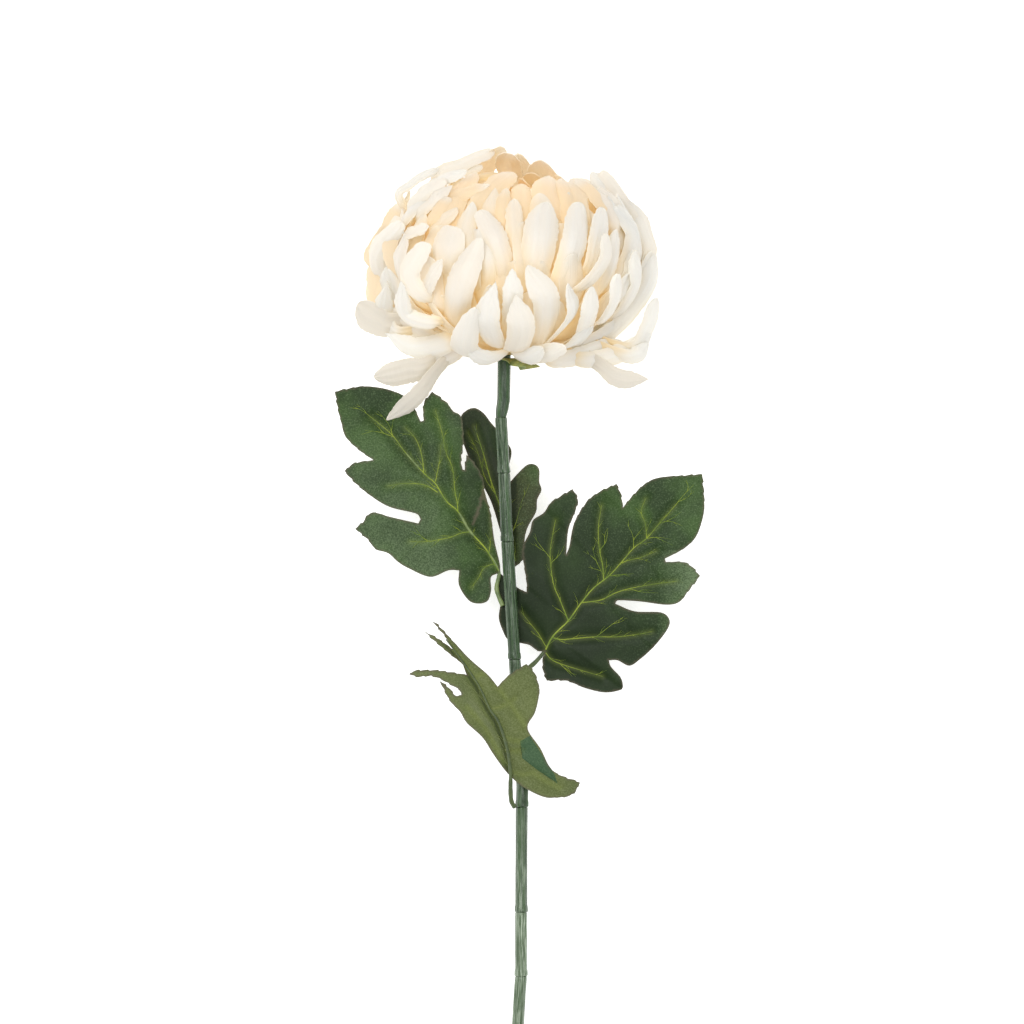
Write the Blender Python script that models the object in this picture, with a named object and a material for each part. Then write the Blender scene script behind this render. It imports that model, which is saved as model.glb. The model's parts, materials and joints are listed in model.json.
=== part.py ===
"""A cut stem of a cream chrysanthemum in silk and plastic, lying on its side.

The flower is drawn upright in its own frame: +Y runs up the stem, +X to the flower's right, +Z out of
its front, with the zero point where the stem meets the bloom. One empty then lays it down, so that it
rests on its lowest petals and on the cut end of the stem, with +Z up.
"""

import math
import random

import bmesh
import bpy
from mathutils import Matrix, Vector
from mathutils.geometry import delaunay_2d_cdt

MM = 0.001

# Bloom: an oblate ball of petals whose axis leans towards the front
BLOOM_RADIUS = 68 * MM
BLOOM_HALF_HEIGHT = 51 * MM
BLOOM_LEAN = math.radians(12)
BLOOM_CENTRE = Vector((3.5, 49, 3)) * MM
CORE_CENTRE = Vector((1, 30, 2)) * MM
CORE_RADIUS = 37 * MM
CORE_HALF_HEIGHT = 26 * MM
CORE_SIDES = 14
CORE_RINGS = 9
WELD = 0.0005 * MM

# Petals: cupped blades that start inside the core
ROOT_DEPTH = 0.8
PETAL_THICKNESS = 1.3 * MM
PETAL_CUP = 0.24
PETAL_EDGE_LIFT = 0.2 * MM
TANGENT_STEP = 0.03

# Each petal passes under the tips of those outside it: how far out its lowest part and its belly lie
LOW_DEPTH = 0.86
BELLY_DEPTH = 0.96
WHORL_LOW_DEPTH = 0.78
WHORL_BELLY_DEPTH = 0.93
WHORL_BELLY_SHARE = 0.55
WHORL_SPAN = 64

# Least height of the petals over the surface: those at the middle of the back rest on it
SEEN_CLEARANCE = 0.6 * MM
WHORL_CLEARANCE = 0.3 * MM

# Calyx: a star of sepals, with each one's reach in millimetres from the front round to the right
SEPAL_REACHES = (14, 16, 17, 13, 12, 12, 11, 12, 13)
SEPAL_NOTCH = 8.5 * MM
CALYX_THICKNESS = 0.9 * MM
CALYX_FLARE = 0.06
CALYX_CLEARANCE = 0.4 * MM

# Stem: moulded sleeves threaded on a steel wire
STEM_END_Y = -347 * MM
STEM_END_RADIUS = 2.8 * MM
BORE_RADIUS = 1.55 * MM
WIRE_RADIUS = 1.1 * MM
SLEEVE_GAP = 0.3 * MM
SOCKET_RADIUS = 3.7 * MM
SOCKET_DEPTH = 9 * MM
SOCKET_SIDES = 10
CUTTER_REACH = 12 * MM
SPIGOT_HEIGHT = 8 * MM
STEM_SIDES = 8
WIRE_TOP_GAP = 0.5 * MM
WIRE_END_GAP = 0.6 * MM

# Leaves: woven blades on moulded ribs
BLADE_THICKNESS = 0.8 * MM
BLADE_SPACING = 9.5 * MM
ROW_SHARE = 0.87
RIB_SHARE = 0.45
EDGE_SHARE = 0.3
RIB_RADIUS = 0.8 * MM
RIB_TAPER = 0.45
RIB_SIDES = 6
STALK_RADIUS = 1.1 * MM
TOUCH_GAP = 0.3 * MM

# The flower lies pitched up from the cut end to the bloom
LYING_PITCH = math.radians(7.6)

# Petals that face the front, in millimetres: where each leaves the others, its belly and its tip, then
# its width, how far out in the ball it lies, which half of the ball it is on, and its roll in degrees
SEEN_PETALS = (
    ((5, 81), (3, 92), (0, 101), 11, 0.96, -1, 0),
    ((12, 82), (10, 92), (6, 100), 9, 1.0, -1, 0),
    ((20, 75), (20, 86), (17, 98), 14, 0.95, -1, 0),
    ((8, 68), (8, 77), (7, 85), 10, 0.8, -1, 0),
    ((-29, 87), (-16, 96), (-1, 101), 9, 1.0, 0, 58),
    ((-33, 83), (-20, 90), (-5, 94), 8, 0.95, 0, 55),
    ((-18, 79), (-7, 85), (5, 88), 9, 0.9, 0, 55),
    ((-12, 65), (-14, 79), (-16, 90), 9, 0.8, 0, 0),
    ((-3, 70), (-5, 79), (-8, 87), 8, 0.8, 0, 0),
    ((55, 70), (49, 83), (41, 90), 9, 0.95, 0, -55),
    ((61, 65), (56, 78), (47, 91), 8, 1.0, 0, -50),
    ((66, 49), (66, 64), (60, 77), 9, 1.0, 0, -50),
    ((50, 35), (62, 59), (51, 78), 14, 0.95, 1, 0),
    ((49, 75), (41, 83), (32, 88), 9, 0.9, 0, -50),
    ((-47, 76), (-43, 85), (-33, 92), 8, 1.0, 0, 45),
    ((-48, 60), (-45, 72), (-34, 82), 11, 0.93, 1, 0),
    ((-45, 59), (-42, 62), (-36, 64), 6, 0.97, 1, 0),
    ((-34, 61), (-30, 66), (-23, 72), 8, 0.86, 1, 0),
    ((-55, 56), (-53, 66), (-48, 76), 10, 0.94, 0, 55),
    ((-60, 48), (-60, 57), (-54, 66), 10, 0.97, 0, 55),
    ((-58, 28), (-62, 40), (-59, 51), 10, 0.99, 0, 50),
    ((-51, 34), (-60, 50), (-49, 64), 9, 0.98, 1, 55),
    ((-44, 29), (-50, 45), (-47, 59), 10, 0.92, 1, 0),
    ((-35, 30), (-44, 41), (-38, 55), 9, 1.0, 1, 30),
    ((-35, 32), (-34, 39), (-29, 47), 7, 0.95, 1, 0),
    ((-49, 15), (-56, 25), (-54, 36), 8, 0.97, 1, 50),
    ((-31, 19), (-46, 23), (-47, 36), 8, 1.0, 1, 30),
    ((-25, 11), (-42, 7), (-55, 14), 11, 1.0, 1, 45),
    ((-20, 6), (-31, 2), (-36, 8), 11, 0.97, 1, 50),
    ((-24, 39), (-27, 51), (-24, 63), 16, 0.9, 1, 0),
    ((-24, 10), (-22, 32), (-14, 56), 13, 0.95, 1, 0),
    ((-8, 30), (-8, 46), (-11, 60), 8, 0.88, 1, 0),
    ((1, 37), (-3, 56), (-9, 71), 10, 0.91, 1, 0),
    ((5, 48), (5, 62), (5, 76), 8, 0.84, 1, 0),
    ((13, 37), (17, 58), (19, 75), 15, 0.88, 1, 0),
    ((23, 30), (33, 55), (35, 75), 12, 0.92, 1, 0),
    ((35, 34), (47, 47), (49, 59), 9, 0.98, 1, 20),
    ((38, 41), (44, 59), (47, 72), 9, 0.92, 1, 0),
    ((34, 9), (40, 21), (41, 34), 9, 1.0, 1, 0),
    ((15, 6), (32, 22), (31, 35), 9, 0.96, 1, 30),
    ((44, 19), (52, 28), (53, 40), 8, 1.0, 1, 0),
    ((50, 21), (62, 36), (61, 51), 8, 0.97, 1, -20),
    ((46, 12), (67, 35), (70, 51), 10, 1.0, 0, -50),
    ((58, 7), (68, 18), (71, 31), 10, 1.0, 0, -45),
    ((21, 2), (38, 4), (54, 11), 10, 1.0, 1, -50),
    ((35, 2), (58, 6), (68, 14), 10, 1.0, 0, -55),
    ((5, 5), (16, 5), (26, 8), 7, 0.96, 1, 0),
    ((26, 8), (34, 10), (41, 16), 9, 0.94, 1, 0),
    ((3, 8), (4, 28), (4, 42), 9, 0.96, 1, 0),
    ((16, 8), (20, 28), (11, 42), 12, 0.98, 1, 0),
    ((-3, 8), (-8, 19), (-5, 35), 11, 0.98, 1, 0),
    ((5, 6), (8, 16), (5, 29), 12, 1.02, 1, 0),
    ((-6, 5), (-17, 9), (-15, 23), 11, 1.0, 1, 0),
    ((-34, 0), (-46, -3), (-59, -7), 12, 1.0, 0, 70),
    ((-29, 0), (-40, -14), (-53, -25), 9, 1.0, 0, 70),
    ((-52, 19), (-60, 21), (-69, 26), 13, 1.0, 0, 70),
    ((43, 1), (53, -6), (66, -7), 9, 1.0, 0, -70),
    ((53, 4), (63, 4), (68, 9), 10, 1.0, 0, -45),
)

# Whorls that fill the rest of the ball: petals all round, tip's angle from the bloom's axis in degrees,
# how far out, width in millimetres, and whether the whorl is left to the petals above at the front
WHORLS = (
    (13, 128, 0.97, 11, True),
    (14, 108, 1.0, 11, True),
    (14, 88, 1.0, 11, True),
    (12, 68, 0.97, 11, True),
    (10, 50, 0.95, 10, True),
    (11, 84, 0.82, 12, False),
    (9, 60, 0.78, 12, False),
    (7, 38, 0.72, 10, False),
    (5, 18, 0.54, 9, False),
)
FRONT_SECTOR = math.radians(80)
BACK_SECTOR = math.radians(150)

# How a whorl's petals vary: their place in shares of their spacing, the tip's angle in degrees, how far
# out they lie, how far round their lowest part swings, and their roll in degrees
WHORL_SEED = 11
PLACE_SPREAD = 0.15
ANGLE_SPREAD = 7
SHELL_SPREAD = 0.025
SWING_SPREAD = 0.12
ROLL_SPREAD = 14

# Places along a petal, each with its share of the petal's width
PETAL_STATIONS = ((0.0, 0.45), (0.38, 0.8), (0.62, 1.0), (0.85, 0.95), (1.0, 0.5))

# Stem's centreline in millimetres, and the places where one sleeve ends and the next begins
STEM_LINE = ((0, 0), (-0.2, -16), (-1.4, -24), (0, -50), (1, -72), (1.5, -82), (3.5, -113), (5, -137),
             (8.5, -196), (8.2, -208), (8, -255), (8, -284), (7.4, -292), (6.5, -307), (5.4, -347))
STEM_JOINTS = (-24, -50, -82, -137, -206, -255, -285)
STEM_RADIUS = 2.8 * MM
NECK_RADIUS = 3.1 * MM
WAIST_RADIUS = 2.3 * MM
COLLAR_RADIUS = 3.1 * MM
SHOULDER_LENGTH = 1.5 * MM
SHOULDER_SHARE = 0.92
COLLAR_LENGTH = 2.5 * MM
COLLAR_SHARE = 0.93
BEND_CLEARANCE = 1.5 * MM

# Leaf outlines in millimetres, each from where the stalk joins the blade and back to it
LEFT_OUTLINE = (
    (-1.8, -95), (-6, -98.5), (-6, -104.5), (-7.5, -109.5), (-11.5, -111), (-16.5, -109.5), (-21, -102.5),
    (-21, -95.5), (-26, -95.5), (-34.5, -98.5), (-44.5, -94.5), (-49.5, -91.5), (-54, -87.5), (-60, -85.5),
    (-63.5, -81), (-69.5, -76), (-65.5, -72.5), (-63.5, -69.5), (-60, -68.5), (-53, -70.5), (-40, -73.5),
    (-39, -71.5), (-41, -69), (-53, -66), (-61, -61.5), (-68.5, -55.5), (-74.5, -49), (-70, -45.5),
    (-61, -44), (-68, -39), (-74, -33), (-76, -26.5), (-77.5, -20.5), (-79, -12), (-72, -10.5),
    (-66, -9.5), (-59, -10), (-52.5, -11.5), (-46, -14.5), (-42, -19.5), (-39, -26), (-37.5, -25.5),
    (-37.5, -17.5), (-33.5, -12), (-26.5, -17.5), (-24, -21), (-20, -24), (-19, -34.5), (-20, -43),
    (-19.5, -48.5), (-18.5, -48.5), (-17.5, -41.5), (-13.5, -46), (-10, -52.5), (-9.5, -56),
    (-11.5, -65.5), (-14.5, -74), (-9.5, -60), (-6.5, -68), (-4.5, -81.5),
)
RIGHT_OUTLINE = (
    (19, -133.5), (15.5, -133), (12, -130.5), (8, -129.5), (2, -128), (-0.5, -124), (-2.5, -117.5),
    (-1.5, -109.5), (-3, -103.5), (-2, -97), (3, -100), (7, -104), (10.5, -105.5), (10.5, -101.5),
    (9, -90.5), (9, -84), (12, -77.5), (13.5, -72), (18.5, -68.5), (22, -63.5), (27, -60.5),
    (32, -57.5), (34.5, -62.5), (33, -68.5), (30, -76.5), (29, -88), (30.5, -84), (32.5, -74),
    (37, -65.5), (42.5, -60), (52.5, -55), (54.5, -60), (55.5, -66), (60.5, -60), (66.5, -54.5),
    (73, -52), (85.5, -51), (92.5, -50.5), (93.5, -65), (92, -73.5), (89, -80.5), (83.5, -85.5),
    (75, -90), (75.5, -91.5), (85, -92), (91.5, -98), (86, -105), (82, -110), (76, -111.5),
    (63.5, -110), (53, -109.5), (52, -111), (61, -114.5), (73, -115), (77, -118), (76.5, -122.5),
    (70.5, -130.5), (63.5, -137), (58.5, -140), (53, -137.5), (49, -137.5), (50, -140.5),
    (54.5, -145.5), (55.5, -150), (54, -151.5), (47, -152.5), (38, -150.5), (29, -147), (20, -147),
    (18.5, -143), (18, -138),
)
BACK_OUTLINE = (
    (5.5, -93.5), (1, -87), (-2, -76.5), (-6.5, -62.5), (-14, -48.5), (-19.5, -34.5), (-20.5, -24.5),
    (-17.5, -20.5), (-13.5, -19.5), (-9.5, -22), (-6, -26.5), (-2, -31), (2, -36.5), (3.5, -40.5),
    (2, -48.5), (2.5, -54.5), (6.5, -50), (11, -46), (14.5, -46), (16.5, -48.5), (16.5, -54),
    (17.5, -58), (15.5, -62.5), (15, -68), (11, -75.5), (9.5, -81.5), (8.5, -90.5),
)
LOWER_OUTLINE = (
    (3.5, -192), (-0.5, -187.5), (-5.5, -180.5), (-10, -173.5), (-17.5, -166.5), (-20.5, -161.5),
    (-25.5, -156), (-30, -147), (-26, -150), (-22.5, -154), (-20, -153.5), (-20.5, -151.5),
    (-26, -148), (-33, -144.8), (-40, -145.2), (-44.5, -144), (-41, -142.2), (-30, -142.2),
    (-17.5, -144), (-19.5, -139), (-24.5, -135), (-31, -129.5), (-37, -124), (-30, -127.6),
    (-24, -132), (-27.5, -126), (-33.5, -119), (-31, -120.5), (-23, -129), (-16, -136.5),
    (-7.5, -144), (-3, -149.5), (2, -144.5), (10.5, -139), (14, -143), (16, -148.5), (16.5, -152.5),
    (14.5, -161.5), (11, -169), (17, -178.5), (23, -189), (35.5, -194.5), (32, -200), (24.5, -201.5),
    (18, -201), (9, -196.5),
)
LEFT_RIB = ((-2.5, -95.5), (-8.5, -85.5), (-16, -77), (-21.5, -68), (-27, -63), (-32, -55), (-37, -50.5),
            (-46, -40.5), (-52.5, -32), (-62, -24))
RIGHT_RIB = ((19.5, -132.5), (23, -126), (30, -119), (35, -112), (41.5, -104), (49, -98), (54.5, -92),
             (60.5, -85), (66.5, -80.5), (72.5, -73.5), (80, -65))
BACK_RIB = ((5, -91), (3, -80), (-1, -68), (-6, -54), (-10, -40), (-14, -28))
LOWER_RIB = ((3, -190), (2, -181), (0, -173), (-3, -165), (-6.5, -160), (-12, -148.5), (-20.5, -136),
             (-27, -127.5))

# Stalks in millimetres, each from beside the stem to where it meets its rib
LEFT_STALK = ((-0.7, -112, -1.2), (-3.5, -104, -2.7))
RIGHT_STALK = ((8.4, -143, -2.2), (14, -139, -4.9))
BACK_STALK = ((2.4, -95.5, -3.15), (3.6, -94.5, -8.8))
LOWER_STALK = ((5, -206, 3.4), (3.4, -203, 5), (3, -197, 8))

# Leaf forms in millimetres over the stem's plane: the rib's foot and its arch or rise, then the slope of
# the blade away from its rib, and how it curls back
LEFT_FORM = (-1.5, 5.5, 0.10, 0.0022)
LEFT_ARCH_LENGTH = 0.8
RIGHT_FORM = (-3.2, 8.0, 0.10, 0.0026)
RIGHT_STEM_SIDE = 22
RIGHT_STEM_SLOPE = 0.14
BACK_FORM = (-6.4, -9.0, -0.12)
LOWER_FORM = (8.5, 10.0)
LOWER_FOLD = (0.85, 0.22)


def clear_scene():
    """Start from an empty file."""
    for item in list(bpy.data.objects):
        bpy.data.objects.remove(item, do_unlink=True)


def material(name, colour, roughness, metallic=0.0):
    """A plain Principled surface."""
    made = bpy.data.materials.new(name)
    made.use_nodes = True
    shader = made.node_tree.nodes["Principled BSDF"]
    shader.inputs["Base Color"].default_value = (*colour, 1.0)
    shader.inputs["Roughness"].default_value = roughness
    shader.inputs["Metallic"].default_value = metallic
    return made


def add_object(name, vertices, faces, surface=None):
    """An object from plain lists, with its faces turned outwards."""
    mesh = bpy.data.meshes.new(name)
    mesh.from_pydata([tuple(v) for v in vertices], [], faces)
    work = bmesh.new()
    work.from_mesh(mesh)
    bmesh.ops.recalc_face_normals(work, faces=work.faces)
    work.to_mesh(mesh)
    work.free()
    made = bpy.data.objects.new(name, mesh)
    bpy.context.scene.collection.objects.link(made)
    if surface:
        mesh.materials.append(surface)
    return made


def floor_height(y):
    """Height of the surface it lies on, in the flower's frame."""
    return -STEM_END_RADIUS - (y - STEM_END_Y) * math.tan(LYING_PITCH)


def bloom_axes():
    """The ball's own right, front and up."""
    right = Vector((1, 0, 0))
    front = Vector((0, -math.sin(BLOOM_LEAN), math.cos(BLOOM_LEAN)))
    up = Vector((0, math.cos(BLOOM_LEAN), math.sin(BLOOM_LEAN)))
    return right, front, up


def outward(point):
    """The way out of the ball at a point."""
    right, front, up = bloom_axes()
    away = point - BLOOM_CENTRE
    wide = BLOOM_RADIUS ** 2
    tall = BLOOM_HALF_HEIGHT ** 2
    way = right * (away.dot(right) / wide) + front * (away.dot(front) / wide) + up * (away.dot(up) / tall)
    return way.normalized()


def on_ball(x, y, shell, half):
    """The point of the front half (1), back half (-1) or outline (0) of a ball seen at x, y."""
    sine = math.sin(BLOOM_LEAN)
    cosine = math.cos(BLOOM_LEAN)
    wide = 1 / BLOOM_RADIUS ** 2
    tall = 1 / BLOOM_HALF_HEIGHT ** 2
    across = x - BLOOM_CENTRE.x
    along = y - BLOOM_CENTRE.y
    square = cosine ** 2 * wide + sine ** 2 * tall
    linear = 2 * along * sine * cosine * (tall - wide)
    rest = across ** 2 * wide + along ** 2 * (sine ** 2 * wide + cosine ** 2 * tall) - shell ** 2
    root = math.sqrt(max(0.0, linear ** 2 - 4 * square * rest))
    return Vector((x, y, BLOOM_CENTRE.z + (half * root - linear) / (2 * square)))


def at_angles(around, down, shell):
    """The point of the ball at an angle round its axis from the front, and one down from its top."""
    right, front, up = bloom_axes()
    ring = right * math.sin(around) + front * math.cos(around)
    radial = ring * (BLOOM_RADIUS * math.sin(down))
    return BLOOM_CENTRE + (radial + up * (BLOOM_HALF_HEIGHT * math.cos(down))) * shell


def core_root(point):
    """Where a petal leaves the core: under its lowest seen point, well inside."""
    away = point - CORE_CENTRE
    away.x /= CORE_RADIUS
    away.y /= CORE_HALF_HEIGHT
    away.z /= CORE_RADIUS
    away.normalize()
    away.x *= CORE_RADIUS
    away.y *= CORE_HALF_HEIGHT
    away.z *= CORE_RADIUS
    return CORE_CENTRE + away * ROOT_DEPTH


def spline_point(points, place):
    """A smooth curve through the points, at 0 for the first and 1 for the last."""
    last = len(points) - 1
    span = min(int(place * last), last - 1)
    part = place * last - span
    before = points[span - 1] if span else points[0] * 2 - points[1]
    after = points[span + 2] if span + 2 <= last else points[last] * 2 - points[last - 1]
    start = points[span]
    end = points[span + 1]
    cubic = (start - end) * 3 + after - before
    square = before * 2 - start * 5 + end * 4 - after
    return (start * 2 + (end - before) * part + square * part ** 2 + cubic * part ** 3) / 2


def petal_section(centre, ahead, half, cup, roll, clearance):
    """Four corners across a petal: its edges, its cupped middle and the middle's inner side."""
    out = outward(centre)
    out = (out - ahead * out.dot(ahead)).normalized()
    out = Matrix.Rotation(math.radians(roll), 3, ahead) @ out
    side = ahead.cross(out) * half
    corners = [centre - side - out * cup, centre, centre + side - out * cup, centre - out * PETAL_THICKNESS]
    for corner, lift in zip(corners, (PETAL_EDGE_LIFT, 0.0, PETAL_EDGE_LIFT, PETAL_THICKNESS)):
        corner.z = max(corner.z, floor_height(corner.y) + clearance + lift)
    return corners


def petal(points, width, roll, clearance):
    """A cupped petal: a thin closed blade along a smooth curve, clear of the surface below."""
    vertices = []
    for place, share in PETAL_STATIONS:
        after = spline_point(points, min(1.0, place + TANGENT_STEP))
        before = spline_point(points, max(0.0, place - TANGENT_STEP))
        ahead = (after - before).normalized()
        wide = width * share
        centre = spline_point(points, place)
        vertices += petal_section(centre, ahead, wide / 2, wide * PETAL_CUP, roll, clearance)
    faces = [(0, 1, 3), (1, 2, 3)]
    for first in range(0, len(vertices) - 4, 4):
        for corner in range(4):
            a = first + corner
            b = first + (corner + 1) % 4
            c, d = b + 4, a + 4
            faces += [(a, b, d), (b, c, d)] if corner % 2 else [(a, b, c), (a, c, d)]
    top = len(vertices) - 4
    faces += [(top, top + 3, top + 1), (top + 1, top + 3, top + 2)]
    return add_object("petal", vertices, faces)


def seen_petals():
    """The petals that face the front."""
    made = []
    for low, belly, tip, width, shell, half, roll in SEEN_PETALS:
        seen = [on_ball(x * MM, y * MM, shell * share, half)
                for (x, y), share in ((low, LOW_DEPTH), (belly, BELLY_DEPTH), (tip, 1.0))]
        points = [core_root(seen[0])] + seen
        made.append(petal(points, width * MM, roll, SEEN_CLEARANCE))
    return made


def whorl_petals():
    """The petals of the sides, the back and the inside, whorl by whorl."""
    draw = random.Random(WHORL_SEED)
    made = []
    for count, tip_angle, shell, width, back_only in WHORLS:
        for turn in range(count):
            shift = 0.5 * (len(made) % 2) + draw.uniform(-PLACE_SPREAD, PLACE_SPREAD)
            around = math.tau * (turn + shift) / count
            from_front = abs(math.remainder(around, math.tau))
            down = math.radians(tip_angle + draw.uniform(-ANGLE_SPREAD, ANGLE_SPREAD))
            reach = shell + draw.uniform(-SHELL_SPREAD, SHELL_SPREAD)
            swing = draw.uniform(-SWING_SPREAD, SWING_SPREAD)
            roll = draw.uniform(-ROLL_SPREAD, ROLL_SPREAD)
            if back_only and from_front < FRONT_SECTOR:
                continue
            seen = []
            for share, depth in ((0.0, WHORL_LOW_DEPTH), (WHORL_BELLY_SHARE, WHORL_BELLY_DEPTH), (1.0, 1.0)):
                below = math.radians(WHORL_SPAN * (1 - share))
                seen.append(at_angles(around + swing * (1 - share), down + below, reach * depth))
            rests = back_only and from_front > BACK_SECTOR
            points = [core_root(seen[0])] + seen
            made.append(petal(points, width * MM, roll, 0.0 if rests else WHORL_CLEARANCE))
    return made


def core():
    """The head's core with the socket for the stem, which every petal grows from."""
    work = bmesh.new()
    bmesh.ops.create_uvsphere(work, u_segments=CORE_SIDES, v_segments=CORE_RINGS, radius=1.0)
    place = Matrix.Translation(CORE_CENTRE) @ Matrix.Rotation(math.radians(-90), 4, "X")
    size = Matrix.Diagonal((CORE_RADIUS, CORE_RADIUS, CORE_HALF_HEIGHT, 1.0))
    bmesh.ops.transform(work, verts=work.verts, matrix=place @ size)
    mesh = bpy.data.meshes.new("core")
    work.to_mesh(mesh)
    work.free()
    made = bpy.data.objects.new("bloom", mesh)
    bpy.context.scene.collection.objects.link(made)
    return made


def apply_boolean(target, operation, tool=None, group=None):
    """One Boolean with an object or with all of a collection, applied."""
    step = target.modifiers.new("join", "BOOLEAN")
    step.operation = operation
    step.solver = "MANIFOLD"
    if group:
        step.operand_type = "COLLECTION"
        step.collection = group
    else:
        step.object = tool
    ready = target.evaluated_get(bpy.context.evaluated_depsgraph_get())
    mesh = bpy.data.meshes.new_from_object(ready)
    target.modifiers.clear()
    target.data = mesh


def signed_volume(faces):
    """Six times the volume that triangles close in, below zero for a hollow."""
    total = 0.0
    for face in faces:
        a, b, c = (v.co for v in face.verts)
        total += a.dot(b.cross(c))
    return total


def keep_outer_body(target):
    """Fill what the union sealed, and drop any loose scrap."""
    work = bmesh.new()
    work.from_mesh(target.data)
    bmesh.ops.triangulate(work, faces=work.faces)
    bmesh.ops.remove_doubles(work, verts=work.verts, dist=WELD)
    bmesh.ops.dissolve_degenerate(work, edges=work.edges, dist=WELD)
    bmesh.ops.triangulate(work, faces=work.faces)
    bodies = []
    left = set(work.faces)
    while left:
        body = []
        front = [left.pop()]
        while front:
            face = front.pop()
            body.append(face)
            for near in {f for e in face.edges for f in e.link_faces} & left:
                left.discard(near)
                front.append(near)
        bodies.append(body)
    largest = max(bodies, key=signed_volume)
    extra = [face for body in bodies if body is not largest for face in body]
    bmesh.ops.delete(work, geom=extra, context="FACES")
    work.to_mesh(target.data)
    work.free()


def bloom(surface):
    """The whole head: petals fused to their core, with a socket under it."""
    made = core()
    group = bpy.data.collections.new("petals")
    bpy.context.scene.collection.children.link(group)
    petals = seen_petals() + whorl_petals()
    for one in petals:
        bpy.context.scene.collection.objects.unlink(one)
        group.objects.link(one)
    apply_boolean(made, "UNION", group=group)
    for one in petals:
        bpy.data.objects.remove(one, do_unlink=True)
    bpy.data.collections.remove(group)
    bottom = CORE_CENTRE.y - CORE_HALF_HEIGHT
    ends = (bottom - CUTTER_REACH, bottom + SOCKET_DEPTH)
    socket = ring_body("socket_cutter", [(Vector((0, y, 0)), SOCKET_RADIUS) for y in ends], SOCKET_SIDES)
    apply_boolean(made, "DIFFERENCE", tool=socket)
    bpy.data.objects.remove(socket, do_unlink=True)
    keep_outer_body(made)
    made.data.materials.clear()
    made.data.materials.append(surface)
    return made


def frame_along(stations, index):
    """Two unit vectors across a path at one of its points, the second one facing the front."""
    after = stations[min(index + 1, len(stations) - 1)][0]
    before = stations[max(index - 1, 0)][0]
    ahead = (after - before).normalized()
    front = Vector((0, 0, 1))
    front = (front - ahead * front.dot(ahead)).normalized()
    return ahead.cross(front), front


def ring_points(stations, sides, level):
    """Rings of points round a path, square to it or level with the stem's joints."""
    points = []
    for index, (centre, radius) in enumerate(stations):
        side, front = (Vector((1, 0, 0)), Vector((0, 0, 1))) if level else frame_along(stations, index)
        for turn in range(sides):
            angle = math.tau * turn / sides
            points.append(centre + (side * math.sin(angle) - front * math.cos(angle)) * radius)
    return points


def ring_faces(rings, sides, start=0):
    """The bands of faces between rings of points."""
    faces = []
    for ring in range(rings - 1):
        for turn in range(sides):
            beside = (turn + 1) % sides
            low = start + ring * sides
            faces.append((low + turn, low + beside, low + sides + beside, low + sides + turn))
    return faces


def ring_body(name, stations, sides, surface=None, level=True):
    """A solid round body along a path."""
    points = ring_points(stations, sides, level)
    faces = ring_faces(len(stations), sides)
    faces.append(tuple(range(sides)))
    faces.append(tuple(range(len(points) - sides, len(points))))
    return add_object(name, points, faces, surface)


def sleeve_body(name, stations, sides, surface):
    """A round body along a path with the wire's bore through it."""
    points = ring_points(stations, sides, True)
    points += ring_points([(centre, BORE_RADIUS) for centre, _ in stations], sides, True)
    count = len(stations)
    inner = count * sides
    faces = ring_faces(count, sides) + ring_faces(count, sides, inner)
    for turn in range(sides):
        beside = (turn + 1) % sides
        last = (count - 1) * sides
        faces.append((turn, beside, inner + beside, inner + turn))
        faces.append((last + turn, last + beside, inner + last + beside, inner + last + turn))
    return add_object(name, points, faces, surface)


def stem_point(y):
    """The stem's centre at a height."""
    for (x_high, y_high), (x_low, y_low) in zip(STEM_LINE, STEM_LINE[1:]):
        if y >= y_low * MM:
            share = (y_high * MM - y) / ((y_high - y_low) * MM)
            return Vector((x_high + (x_low - x_high) * max(0.0, share), y / MM, 0)) * MM
    return Vector((STEM_LINE[-1][0] * MM, y, 0))


def stem_sleeves(surface):
    """The moulded lengths of the stem, each with a collar at its lower joint."""
    ends = [SPIGOT_HEIGHT] + [y * MM for y in STEM_JOINTS] + [STEM_END_Y]
    bends = [y * MM for _, y in STEM_LINE]
    made = []
    for number, (top, bottom) in enumerate(zip(ends, ends[1:]), start=1):
        first = number == 1
        last = number == len(ends) - 1
        high = top if first else top - SLEEVE_GAP / 2
        low = bottom if last else bottom + SLEEVE_GAP / 2
        body = NECK_RADIUS if first else STEM_RADIUS
        shoulder = high - SHOULDER_LENGTH
        collar = low + COLLAR_LENGTH
        between = [y for y in bends if collar + BEND_CLEARANCE < y < shoulder - BEND_CLEARANCE]
        heights = [high, shoulder] + between + [collar, low]
        radii = [body * SHOULDER_SHARE] + [body] * (len(between) + 1)
        if last:
            radii += [body, STEM_END_RADIUS]
        elif first:
            radii += [body * COLLAR_SHARE, WAIST_RADIUS]
        else:
            radii += [COLLAR_RADIUS, COLLAR_RADIUS * COLLAR_SHARE]
        stations = [(stem_point(y), radius) for y, radius in zip(heights, radii)]
        made.append(sleeve_body(f"stem_sleeve_{number}", stations, STEM_SIDES, surface))
    return made


def stem_wire(surface):
    """The steel wire that the sleeves are threaded on, up into the head."""
    bends = sorted((y * MM for _, y in STEM_LINE), reverse=True)
    heights = [SPIGOT_HEIGHT - WIRE_TOP_GAP] + bends[:-1] + [STEM_END_Y + WIRE_END_GAP]
    stations = [(stem_point(y), WIRE_RADIUS) for y in heights]
    return ring_body("stem_wire", stations, STEM_SIDES, surface)


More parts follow.
